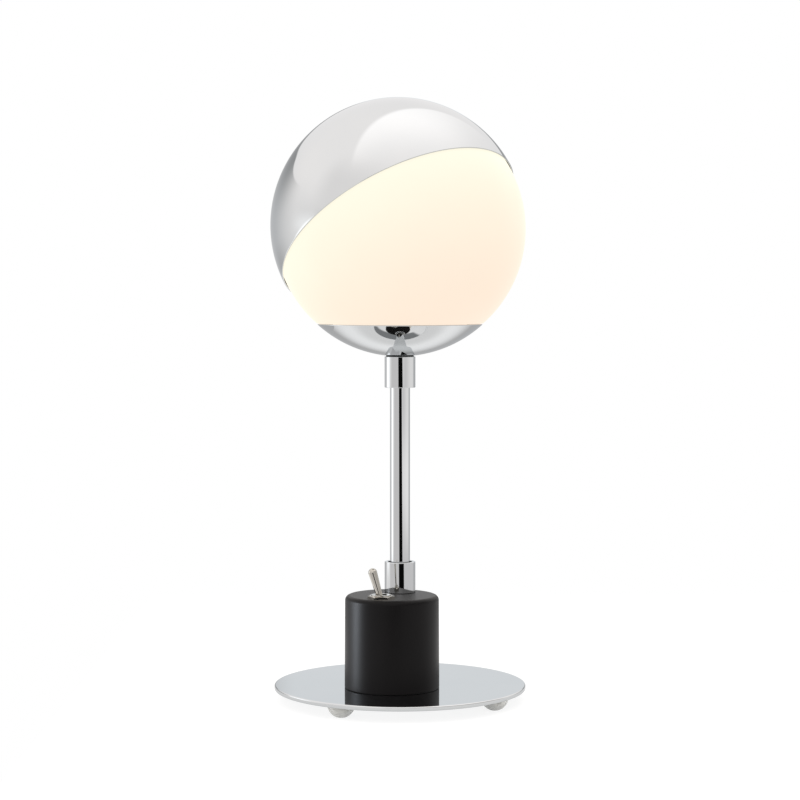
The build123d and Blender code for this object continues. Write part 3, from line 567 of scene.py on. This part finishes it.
def porcelain():
    """Glazed porcelain, faintly mottled."""
    return finish(
        "porcelain",
        tints=((0.82, 0.8, 0.76), (0.9, 0.89, 0.86)),
        rough=(0.18, 0.3),
        grain=1100.0,
        cloud=500.0,
        relief=0.006 * MM,
        sockets={"Coat Weight": 0.6, "Coat Roughness": 0.08},
    )


def bulb_glass():
    """Frosted bulb glass."""
    return finish(
        "bulb_glass",
        tints=((0.93, 0.92, 0.9), (0.97, 0.96, 0.94)),
        rough=(0.3, 0.42),
        grain=1800.0,
        cloud=80.0,
        relief=0.002 * MM,
        sockets={"Transmission Weight": 0.85, "IOR": 1.48},
    )


def light_rods():
    """Yellow coating of the light rods, which glow."""
    return finish(
        "light_rods",
        tints=((0.9, 0.68, 0.22), (0.98, 0.82, 0.4)),
        rough=(0.4, 0.55),
        grain=2500.0,
        cloud=400.0,
        relief=0.01 * MM,
        sockets={"Emission Color": (1.0, 0.78, 0.42, 1.0), "Emission Strength": 1.0},
    )


def felt():
    """Pressed wool felt."""
    return finish(
        "felt",
        tints=((0.62, 0.61, 0.57), (0.84, 0.83, 0.79)),
        rough=(0.85, 1.0),
        grain=1600.0,
        cloud=900.0,
        relief=0.12 * MM,
        sockets={"Sheen Weight": 0.4, "Sheen Roughness": 0.6},
    )


def wire_cover(name, dark, light):
    """Extruded wire insulation."""
    return finish(
        name,
        tints=(dark, light),
        rough=(0.4, 0.55),
        grain=1400.0,
        cloud=200.0,
        relief=0.006 * MM,
        stretch=(1.0, 1.0, 0.3),
    )


def earth_cover():
    """Wire insulation with coloured stripes."""
    made = wire_cover("earth_wire", dark=(0.2, 0.42, 0.04), light=(0.26, 0.5, 0.06))
    tree = made.node_tree
    shader = tree.nodes["Principled BSDF"]
    place = add(tree, "ShaderNodeTexCoord").outputs["Object"]
    inputs = {"Vector": place, "Scale": STRIPE_SCALE, "Distortion": STRIPE_DISTORTION}
    stripes = add(tree, "ShaderNodeTexWave", {"bands_direction": "DIAGONAL"}, inputs).outputs["Fac"]
    share = ramp(tree, stripes, *STRIPE_LIMITS)
    plain = shader.inputs["Base Color"].links[0].from_socket
    tree.links.new(mix(tree, share, plain, STRIPE_COLOUR), shader.inputs["Base Color"])
    return made


def all_materials():
    """Every finish by the name of its slot."""
    return {
        "chrome": chrome(),
        "satin_black": satin_black(),
        "clear_rubber": clear_rubber(),
        "black_rubber": black_rubber(),
        "plated_steel": plated_steel(),
        "nickel": nickel(),
        "brass": brass(),
        "black_plastic": black_plastic(),
        "white_plastic": white_plastic(),
        "porcelain": porcelain(),
        "bulb_glass": bulb_glass(),
        "light_rods": light_rods(),
        "opal_glass": opal_glass(),
        "felt": felt(),
        "brown_wire": wire_cover("brown_wire", dark=(0.2, 0.075, 0.03), light=(0.27, 0.11, 0.045)),
        "black_wire": wire_cover("black_wire", dark=(0.015, 0.015, 0.015), light=(0.03, 0.03, 0.03)),
        "blue_wire": wire_cover("blue_wire", dark=(0.03, 0.14, 0.48), light=(0.05, 0.2, 0.6)),
        "earth_wire": earth_cover(),
    }


def dress(piece, node, plating=None):
    """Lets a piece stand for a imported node: it moves with its body and has its finish, or a plating."""
    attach(piece, body_of[node])
    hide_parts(node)
    piece.data.materials.append(plating or materials[slot_of[node]])
    return piece


def centre_of(node):
    """Middle of a node's box in plan, as a place on the table."""
    low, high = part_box(node)
    return Matrix.Translation(((low.x + high.x) / 2, (low.y + high.y) / 2, 0))


def base_plate():
    """Round plate with rounded edges."""
    low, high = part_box("base_disc")
    corners = (
        (DISC_HOLE_RADIUS, low.z, FINE_EDGE),
        (DISC_HOLE_RADIUS, high.z, FINE_EDGE),
        (high.x, high.z, DISC_EDGE_RADIUS),
        (high.x, low.z, DISC_EDGE_RADIUS),
    )
    dress(lathe("base_plate", rounded(corners, True), closed=True), "base_disc")


def bumper_feet():
    """Clear domes with a small flat to stand on."""
    for number in range(1, FOOT_COUNT + 1):
        node = f"foot_{number}"
        low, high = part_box(node)
        centre = low.z + FOOT_RADIUS - FOOT_FLAT_DEPTH
        root_angle = math.asin((high.z - centre) / FOOT_RADIUS)
        flat_angle = math.asin((low.z - centre) / FOOT_RADIUS)
        dome = arc(FOOT_RADIUS, root_angle, flat_angle, centre)
        outline = [(0.0, high.z), *dome, (0.0, low.z)]
        dress(lathe(f"bumper_{number}", outline, centre_of(node)), node)


def housing_cup():
    """Satin cup with a rounded top edge and a small round at its foot."""
    low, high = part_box("switch_housing")
    foot_radius = (high.x - low.x) / 2
    corners = (
        (0.0, high.z, 0.0),
        (HOUSING_TOP_RADIUS, high.z, HOUSING_EDGE_RADIUS),
        (foot_radius, low.z, HOUSING_FOOT_EDGE),
        (foot_radius - HOUSING_WALL, low.z, FINE_EDGE),
        (HOUSING_TOP_RADIUS - HOUSING_WALL, high.z - HOUSING_ROOF, SOFT_EDGE),
        (0.0, high.z - HOUSING_ROOF, 0.0),
    )
    cup = lathe("housing_cup", rounded(corners), centre_of("switch_housing"))
    return dress(cup, "switch_housing")


def stem_rod():
    """Long tube between the collars."""
    low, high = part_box("stem_tube")
    corners = (
        (STEM_BORE_RADIUS, low.z, FINE_EDGE),
        (STEM_BORE_RADIUS, high.z, FINE_EDGE),
        (high.x, high.z, FINE_EDGE),
        (high.x, low.z, FINE_EDGE),
    )
    dress(lathe("stem_rod", rounded(corners, True), closed=True), "stem_tube")


def collar_cup(name, node, web_z, mouth_z, plating):
    """Cup that takes an end of the stem, open at its mouth."""
    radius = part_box(node)[1].x
    web_end = web_z + math.copysign(COLLAR_WEB, mouth_z - web_z)
    corners = (
        (NIPPLE_HOLE_RADIUS, web_z, FINE_EDGE),
        (NIPPLE_HOLE_RADIUS, web_end, FINE_EDGE),
        (COLLAR_BORE_RADIUS, web_end, FINE_EDGE),
        (COLLAR_BORE_RADIUS, mouth_z, SOFT_EDGE),
        (radius, mouth_z, SOFT_EDGE),
        (radius, web_z, SOFT_EDGE),
    )
    dress(lathe(name, rounded(corners, True), closed=True), node, plating)


def collars():
    """The two collars, with their mouths towards each other."""
    plating = chrome("collar_chrome", COLLAR_BORE_RADIUS)
    low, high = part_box("lower_collar")
    collar_cup("lower_collar_cup", "lower_collar", low.z, high.z, plating)
    low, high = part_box("upper_collar")
    collar_cup("upper_collar_cup", "upper_collar", high.z, low.z, plating)


def bowl_ring():
    """Thin black washer under the bowl."""
    low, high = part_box("bowl_washer")
    corners = (
        (NIPPLE_HOLE_RADIUS, low.z, FINE_EDGE),
        (NIPPLE_HOLE_RADIUS, high.z, FINE_EDGE),
        (high.x, high.z, FINE_EDGE),
        (high.x, low.z, FINE_EDGE),
    )
    dress(lathe("bowl_ring", rounded(corners, True), closed=True), "bowl_washer")


def bowl_shell():
    """Shallow spun bowl with a flat middle and a broken rim."""
    low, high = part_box("bowl")
    centre = low.z + chord(BOWL_RADIUS, BOWL_FLAT_RADIUS)
    inside = BOWL_RADIUS - BOWL_WALL
    floor = low.z + BOWL_WALL
    outer_rim = math.asin((high.z - centre) / BOWL_RADIUS)
    outer_flat = math.asin((low.z - centre) / BOWL_RADIUS)
    inner_rim = math.asin((high.z - centre) / inside)
    inner_flat = math.asin((floor - centre) / inside)
    back = SOFT_EDGE / BOWL_RADIUS * EDGE_LEAD
    rim = (
        (*polar(inside, inner_rim - back, centre), 0.0),
        (*polar(inside, inner_rim, centre), SOFT_EDGE),
        (*polar(BOWL_RADIUS, outer_rim, centre), SOFT_EDGE),
        (*polar(BOWL_RADIUS, outer_rim - back, centre), 0.0),
    )
    outline = [
        (NIPPLE_HOLE_RADIUS, low.z),
        (NIPPLE_HOLE_RADIUS, floor),
        *arc(inside, inner_flat, inner_rim - back, centre)[:-1],
        *rounded(rim),
        *arc(BOWL_RADIUS, outer_rim - back, outer_flat, centre)[1:],
    ]
    dress(lathe("bowl_shell", outline, closed=True), "bowl")


def globe_glass():
    """Blown glass ball with a flat shoulder and a short neck in the bowl."""
    low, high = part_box("opal_globe")
    centre = high.z - GLOBE_RADIUS
    inside = GLOBE_RADIUS - GLASS_WALL
    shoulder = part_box("bowl")[1].z + SHOULDER_AIR
    ledge = shoulder + GLASS_WALL
    outer_end = math.asin((shoulder - centre) / GLOBE_RADIUS)
    inner_end = math.asin((ledge - centre) / inside)
    back = GLASS_EDGE / GLOBE_RADIUS * EDGE_LEAD
    bore = NECK_RADIUS - GLASS_WALL
    outer_corner = polar(GLOBE_RADIUS, outer_end, centre)
    foot = (
        (*polar(GLOBE_RADIUS, outer_end + back, centre), 0.0),
        (*outer_corner, GLASS_EDGE),
        (NECK_RADIUS, shoulder, GLASS_EDGE),
        (NECK_RADIUS, low.z, GLASS_EDGE),
        (bore, low.z, GLASS_EDGE),
        (bore, ledge, GLASS_EDGE),
        (*polar(inside, inner_end, centre), 0.0),
    )
    outline = [
        *arc(GLOBE_RADIUS, math.pi / 2, outer_end + back, centre)[:-1],
        *rounded(foot),
        *arc(inside, inner_end, math.pi / 2, centre)[1:],
    ]
    outline[0] = (0.0, high.z)
    outline[-1] = (0.0, centre + inside)
    dress(lathe("globe_glass", outline), "opal_globe")


def shade_frame():
    """From the shade's own upright frame about the globe's centre to its rest position."""
    joint = joint_of["shade_tilt"]
    lean = Matrix.Rotation(SHADE_TILT, 4, Vector(joint["axis"]))
    return Matrix.Translation(joint["pos_m"]) @ lean


def shade_shell():
    """Spun half shell with a short straight skirt and a softened rim."""
    inside = SHADE_RADIUS - SHADE_WALL
    rim = SHADE_LIFT - SHADE_SKIRT
    skirt = (
        (SHADE_RADIUS, SHADE_LIFT, 0.0),
        (SHADE_RADIUS, rim, SHADE_EDGE),
        (inside, rim, SHADE_EDGE),
        (inside, SHADE_LIFT, 0.0),
    )
    outline = [
        *arc(SHADE_RADIUS, math.pi / 2, 0.0, SHADE_LIFT)[:-1],
        *rounded(skirt),
        *arc(inside, 0.0, math.pi / 2, SHADE_LIFT)[1:],
    ]
    outline[0] = (0.0, SHADE_LIFT + SHADE_RADIUS)
    outline[-1] = (0.0, SHADE_LIFT + inside)
    dress(lathe("shade_shell", outline, shade_frame()), "shade_cap")


def felt_pads():
    """Felt discs under the shade, each a little domed."""
    inside = SHADE_RADIUS - SHADE_WALL
    for number in range(PAD_COUNT):
        turn = Matrix.Rotation(2 * math.pi * number / PAD_COUNT, 4, "Z")
        towards = shade_frame() @ turn @ Matrix.Rotation(PAD_POLAR_ANGLE, 4, "Y")
        top = SHADE_LIFT * math.cos(PAD_POLAR_ANGLE) + inside - PAD_BACK_AIR
        low = GLOBE_RADIUS + PAD_GLASS_AIR
        corners = (
            (0.0, top, 0.0),
            (PAD_RADIUS - PAD_EDGE, top - PAD_BACK_AIR, PAD_EDGE),
            (PAD_RADIUS - PAD_EDGE, low, PAD_EDGE),
            (0.0, low, 0.0),
        )
        pad = dress(lathe(f"felt_pad_{number + 1}", rounded(corners), towards), "shade_pads")


def lever_frame():
    """From the lever's own upright frame about its pivot to its rest position."""
    joint = joint_of["switch_toggle"]
    lean = Matrix.Rotation(-LEVER_LEAN, 4, Vector(joint["axis"]))
    return Matrix.Translation(joint["pos_m"]) @ lean


def toggle_lever():
    """Ball, tapered handle with a round tip, and the tail inside the switch."""
    tip_z = LEVER_LENGTH - LEVER_TIP_RADIUS
    handle_angle = math.acos(LEVER_ROOT_RADIUS / LEVER_BALL_RADIUS)
    tail_angle = -math.acos(LEVER_TAIL_RADIUS / LEVER_BALL_RADIUS)
    outline = [
        (0.0, LEVER_LENGTH),
        *arc(LEVER_TIP_RADIUS, math.pi / 2, 0.0, tip_z)[1:],
        *arc(LEVER_BALL_RADIUS, handle_angle, tail_angle, 0.0),
        (LEVER_TAIL_RADIUS, -LEVER_TAIL_LENGTH),
        (0.0, -LEVER_TAIL_LENGTH),
    ]
    dress(lathe("toggle_lever", outline, lever_frame()), "switch_lever")


def toggle_nut():
    """Hexagon nut with a turned chamfer on its corners."""
    low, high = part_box("switch_dress_nut")
    flats = NUT_FLATS_RADIUS
    sixth = math.pi / 3

    def hexagon(radius, height, angle):
        """Stretches the outer points to six flats and drops their upper corners."""
        if radius < flats:
            return radius, height
        side = angle % sixth - sixth / 2
        out = flats / math.cos(side)
        drop = (out - flats) * math.tan(NUT_CHAMFER_ANGLE)
        return out, height - (drop if height > low.z else 0.0)

    outline = [
        (NUT_BORE_RADIUS, low.z),
        (NUT_BORE_RADIUS, high.z - FINE_EDGE),
        (NUT_BORE_RADIUS + FINE_EDGE, high.z),
        (flats - FINE_EDGE, high.z),
        (flats, high.z - FINE_EDGE),
        (flats, low.z),
    ]
    place = centre_of("switch_dress_nut") @ Matrix.Rotation(NUT_TURN, 4, "Z")
    dress(lathe("toggle_nut", outline, place, closed=True, stretch=hexagon), "switch_dress_nut")


def carried_nodes():
    """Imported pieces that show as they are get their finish."""
    for name, node in frame["nodes"].items():
        node.data.materials.clear()
        node.data.materials.append(materials[slot_of[name]])


def grey(level):
    """Neutral colour of a level."""
    return (level, level, level, 1.0)


def lit_floor(tree, share, glow):
    """Floor surface that is partly lit by the studio and partly bright of its own."""
    lit = add(tree, "ShaderNodeBsdfDiffuse", inputs={"Color": grey(share)})
    own = add(tree, "ShaderNodeEmission", inputs={"Color": WHITE, "Strength": glow})
    return add(tree, "ShaderNodeAddShader", inputs={0: lit.outputs[0], 1: own.outputs[0]}).outputs[0]


def floor():
    """White table board that keeps a light shadow, and in the mirrors a painted shade under the disc and a painted
    fade to grey far off.
    """
    turn = Matrix.Rotation(CAMERA_AZIMUTH, 4, "Z")
    corners = (
        (-FLOOR_LEFT, -FLOOR_FRONT, 0.0),
        (FLOOR_RIGHT, -FLOOR_FRONT, 0.0),
        (FLOOR_RIGHT, FLOOR_BACK, 0.0),
        (-FLOOR_LEFT, FLOOR_BACK, 0.0),
    )
    top = link("floor", [turn @ Vector(corner) for corner in corners], [(0, 1, 2, 3)])
    made = bpy.data.materials.new("floor")
    made.use_nodes = True
    tree = made.node_tree
    tree.nodes.remove(tree.nodes["Principled BSDF"])
    path = add(tree, "ShaderNodeLightPath").outputs
    seen = calc(tree, "MAXIMUM", path["Is Camera Ray"], path["Is Transmission Ray"])
    out = axis_distance(tree)
    # Painted shade under the disc and a painted fade far off, in what mirrors show of the floor
    fade = ramp(tree, out, *FLOOR_FADE, FLOOR_MIRRORED_NEAR, FLOOR_MIRRORED_FAR)
    shade = ramp(tree, out, *FLOOR_PAST_DISC, FLOOR_PAINTED_SHADE_UNDER_DISC, 1.0)
    glow = calc(tree, "MULTIPLY", fade, shade)
    mirrored = lit_floor(tree, FLOOR_MIRRORED_SHARE, glow)
    shown = lit_floor(tree, FLOOR_SHADOW_SHARE, FLOOR_WHITE)
    bounce = add(tree, "ShaderNodeBsdfDiffuse", inputs={"Color": grey(FLOOR_ALBEDO)}).outputs[0]
    first = {0: path["Is Glossy Ray"], 1: bounce, 2: mirrored}
    first = add(tree, "ShaderNodeMixShader", inputs=first).outputs[0]
    whole = add(tree, "ShaderNodeMixShader", inputs={0: seen, 1: first, 2: shown}).outputs[0]
    tree.links.new(whole, tree.nodes["Material Output"].inputs["Surface"])
    top.data.materials.append(made)


def softbox_share(tree, right, toward, up):
    """Share of the overhead softbox: one crisp slanted edge, and faded towards front and right."""
    height = calc(tree, "MAXIMUM", up, SOFTBOX_LOWEST)
    across = calc(tree, "DIVIDE", right, height)
    forth = calc(tree, "DIVIDE", toward, height)
    slant_right = calc(tree, "MULTIPLY", across, SOFTBOX_SLANT_RIGHT)
    slant_front = calc(tree, "MULTIPLY", forth, SOFTBOX_SLANT_FRONT)
    crisp = ramp(tree, calc(tree, "ADD", slant_right, slant_front), *SOFTBOX_EDGE)
    front = ramp(tree, forth, *SOFTBOX_FADE_FRONT, 1.0, 0.0)
    side = ramp(tree, across, *SOFTBOX_FADE_RIGHT, 1.0, 0.0)
    above = ramp(tree, up, *SOFTBOX_FADE_UP)
    share = calc(tree, "MULTIPLY", calc(tree, "MULTIPLY", crisp, front), side)
    return calc(tree, "MULTIPLY", share, above)


def zone(tree, azimuth, azimuths, elevation, elevations):
    """1 inside a patch of the studio and 0 outside, with soft borders."""
    across = band(tree, azimuth, *azimuths)
    upward = band(tree, elevation, *elevations)
    return calc(tree, "MULTIPLY", across, upward)


def backdrop(tree, colour, azimuth, elevation, from_back):
    """Backdrop behind the lamp: dark at its top edge, lightest at the horizon, with a lit sweep."""
    edge = ramp(tree, from_back, *BACKDROP_STEP, *BACKDROP_EDGE)
    upper = mix(tree, ramp(tree, elevation, BACKDROP_RISE, edge), BACKDROP_MIDDLE, BACKDROP_TOP)
    whole = mix(tree, ramp(tree, elevation, BACKDROP_LOW, -BACKDROP_RISE), BACKDROP_FOOT, upper)
    past_edge = calc(tree, "SUBTRACT", elevation, edge)
    below_edge = ramp(tree, past_edge, -BACKDROP_SOFT, BACKDROP_SOFT, 1.0, 0.0)
    behind = ramp(tree, calc(tree, "ABSOLUTE", azimuth), *BACKDROP_AZIMUTH)
    colour = mix(tree, calc(tree, "MULTIPLY", behind, below_edge), colour, whole)
    right = zone(tree, azimuth, BACK_RIGHT_AZIMUTH, elevation, BACK_RIGHT_ELEVATION)
    colour = mix(tree, right, colour, BACK_RIGHT)
    swept = calc(tree, "MULTIPLY", band(tree, from_back, *SWEEP_AZIMUTH), below_edge)
    swept = calc(tree, "MULTIPLY", swept, ramp(tree, elevation, *SWEEP_ELEVATION))
    return mix(tree, swept, colour, SWEEP)


def near_sides(tree, colour, azimuth, elevation):
    """Greyer sides of the camera, the lit table's edge at the right, and a halo and a gleam at the left."""
    left = zone(tree, azimuth, NEAR_LEFT_AZIMUTH, elevation, NEAR_LEFT_ELEVATION)
    colour = mix(tree, left, colour, NEAR_LEFT)
    right = zone(tree, azimuth, NEAR_RIGHT_AZIMUTH, elevation, NEAR_RIGHT_ELEVATION)
    colour = mix(tree, right, colour, NEAR_RIGHT)
    low = zone(tree, azimuth, LOW_RIGHT_AZIMUTH, elevation, LOW_RIGHT_ELEVATION)
    colour = mix(tree, low, colour, LOW_RIGHT)
    high = zone(tree, azimuth, FRONT_RIGHT_AZIMUTH, elevation, FRONT_RIGHT_ELEVATION)
    colour = mix(tree, high, colour, FRONT_RIGHT)
    glow = zone(tree, azimuth, TABLE_GLOW_AZIMUTH, elevation, TABLE_GLOW_ELEVATION)
    colour = mix(tree, glow, colour, TABLE_GLOW)
    halo = zone(tree, azimuth, HALO_AZIMUTH, elevation, HALO_ELEVATION)
    colour = mix(tree, halo, colour, HALO)
    slant = calc(tree, "SUBTRACT", elevation, calc(tree, "MULTIPLY", azimuth, GLEAM_LEAN))
    gleam = zone(tree, azimuth, GLEAM_AZIMUTH, slant, GLEAM_ELEVATION)
    return mix(tree, gleam, colour, GLEAM)


def dark_gap(tree, colour, azimuth, elevation, twice):
    """Dark gap around the camera that leans to the right, and is deeper in a mirror of a mirror."""
    depth = calc(tree, "MINIMUM", elevation, 0.0)
    past_left = calc(tree, "SUBTRACT", azimuth, calc(tree, "MULTIPLY", depth, GAP_LEFT_LEAN))
    past_right = calc(tree, "SUBTRACT", azimuth, calc(tree, "MULTIPLY", depth, GAP_RIGHT_LEAN))
    rise = ramp(tree, past_left, GAP_LEFT - GAP_SOFT, GAP_LEFT + GAP_SOFT)
    fall = ramp(tree, past_right, GAP_RIGHT - GAP_SOFT, GAP_RIGHT + GAP_SOFT, 1.0, 0.0)
    across = calc(tree, "MULTIPLY", rise, fall)
    deep = calc(tree, "MULTIPLY", twice, band(tree, elevation, *GAP_TWICE_ELEVATION))
    upward = calc(tree, "MAXIMUM", band(tree, elevation, *GAP_ELEVATION), deep)
    return mix(tree, calc(tree, "MULTIPLY", across, upward), colour, GAP)


def studio():
    """Soft white surroundings with an overhead softbox, a grey backdrop, a dark gap and rafters."""
    world = bpy.data.worlds.new("studio")
    bpy.context.scene.world = world
    world.use_nodes = True
    tree = world.node_tree
    direction = add(tree, "ShaderNodeTexCoord").outputs["Generated"]
    inputs = {"Vector": direction, "Angle": -CAMERA_AZIMUTH}
    turned = add(tree, "ShaderNodeVectorRotate", {"rotation_type": "Z_AXIS"}, inputs).outputs[0]
    right, away, up = add(tree, "ShaderNodeSeparateXYZ", inputs={0: turned}).outputs
    toward = calc(tree, "MULTIPLY", away, -1.0)
    azimuth = calc(tree, "DEGREES", calc(tree, "ARCTAN2", right, toward))
    from_back = calc(tree, "DEGREES", calc(tree, "ARCTAN2", right, away))
    elevation = calc(tree, "DEGREES", calc(tree, "ARCSINE", up))
    path = add(tree, "ShaderNodeLightPath").outputs
    colour = mix(tree, ramp(tree, elevation, *DOME_ELEVATION), WALL, DOME)
    colour = mix(tree, softbox_share(tree, right, toward, up), colour, SOFTBOX)
    front = zone(tree, azimuth, FRONT_DOME_AZIMUTH, elevation, FRONT_DOME_ELEVATION)
    colour = mix(tree, front, colour, FRONT_DOME)
    colour = near_sides(tree, colour, azimuth, elevation)
    colour = backdrop(tree, colour, azimuth, elevation, from_back)
    twice = calc(tree, "GREATER_THAN", path["Glossy Depth"], MIRRORED_ONCE)
    colour = dark_gap(tree, colour, azimuth, elevation, twice)
    rafters = zone(tree, from_back, RAFTERS_FROM_BACK, elevation, RAFTERS_ELEVATION)
    colour = mix(tree, calc(tree, "MULTIPLY", twice, rafters), colour, RAFTERS)
    colour = mix(tree, path["Is Camera Ray"], colour, WHITE)
    tree.links.new(colour, tree.nodes["Background"].inputs["Color"])


def card_glow():
    """Light that fades to nothing at the borders of the card."""
    made = bpy.data.materials.new("card_glow")
    made.use_nodes = True
    tree = made.node_tree
    tree.nodes.remove(tree.nodes["Principled BSDF"])
    place = add(tree, "ShaderNodeTexCoord").outputs["Object"]
    across, _, up = add(tree, "ShaderNodeSeparateXYZ", inputs={0: place}).outputs
    side = ramp(tree, calc(tree, "ABSOLUTE", across), CARD_CORE, CARD_HALF_WIDTH, 1.0, 0.0)
    upward = calc(tree, "MULTIPLY", ramp(tree, up, *CARD_FOOT), ramp(tree, up, *CARD_TOP, 1.0, 0.0))
    share = calc(tree, "MULTIPLY", side, upward)
    clear = add(tree, "ShaderNodeBsdfTransparent").outputs[0]
    inputs = {"Color": CARD_LIGHT, "Strength": CARD_STRENGTH}
    bright = add(tree, "ShaderNodeEmission", inputs=inputs).outputs[0]
    whole = add(tree, "ShaderNodeMixShader", inputs={0: share, 1: clear, 2: bright}).outputs[0]
    tree.links.new(whole, tree.nodes["Material Output"].inputs["Surface"])
    return made


def light_card():
    """Upright card with soft borders that only mirrors show."""
    corners = (
        (-CARD_HALF_WIDTH, 0.0, CARD_FOOT[0]),
        (CARD_HALF_WIDTH, 0.0, CARD_FOOT[0]),
        (CARD_HALF_WIDTH, 0.0, CARD_TOP[1]),
        (-CARD_HALF_WIDTH, 0.0, CARD_TOP[1]),
    )
    card = link("light_card", corners, [(0, 1, 2, 3)])
    turn = Matrix.Rotation(CAMERA_AZIMUTH + CARD_AZIMUTH, 4, "Z")
    card.matrix_world = turn @ Matrix.Translation((0.0, -CARD_DISTANCE, 0.0))
    card.visible_camera = False
    card.visible_diffuse = False
    card.visible_shadow = False
    card.data.materials.append(card_glow())


def housing_lamp(housing):
    """Soft lamp at the left that draws the sheen down the housing."""
    lamp = bpy.data.lights.new("housing_lamp", "AREA")
    lamp.shape = "RECTANGLE"
    lamp.size, lamp.size_y = LAMP_SIZE
    lamp.energy = LAMP_WATTS
    lamp.color = LAMP_COLOUR
    holder = bpy.data.objects.new("housing_lamp", lamp)
    turn = Matrix.Rotation(CAMERA_AZIMUTH + LAMP_AZIMUTH, 4, "Z")
    holder.location = turn @ Vector((0.0, -LAMP_DISTANCE, LAMP_HEIGHT))
    sight = Vector((0.0, 0.0, LAMP_AIM_HEIGHT)) - holder.location
    holder.rotation_euler = sight.to_track_quat("-Z", "Y").to_euler()
    bpy.context.scene.collection.objects.link(holder)
    lit = bpy.data.collections.new("lit_housing")
    lit.objects.link(housing)
    holder.light_linking.receiver_collection = lit


def camera():
    """Camera at the photograph's angle, a little above the middle of the lamp."""
    lens = bpy.data.cameras.new("camera")
    lens.lens = LENS_MM
    eye = bpy.data.objects.new("camera", lens)
    across = Vector((math.sin(CAMERA_AZIMUTH), -math.cos(CAMERA_AZIMUTH), 0.0))
    eye.location = across * CAMERA_DISTANCE + Vector((0.0, 0.0, CAMERA_HEIGHT))
    sight = Vector((0.0, 0.0, AIM_HEIGHT)) - eye.location
    eye.rotation_euler = sight.to_track_quat("-Z", "Y").to_euler()
    bpy.context.scene.collection.objects.link(eye)
    bpy.context.scene.camera = eye


materials = all_materials()
carried_nodes()
base_plate()
bumper_feet()
housing = housing_cup()
stem_rod()
collars()
bowl_ring()
bowl_shell()
globe_glass()
shade_shell()
felt_pads()
toggle_lever()
toggle_nut()
floor()
studio()
light_card()
housing_lamp(housing)
camera()
bpy.context.scene.view_settings.view_transform = "Standard"
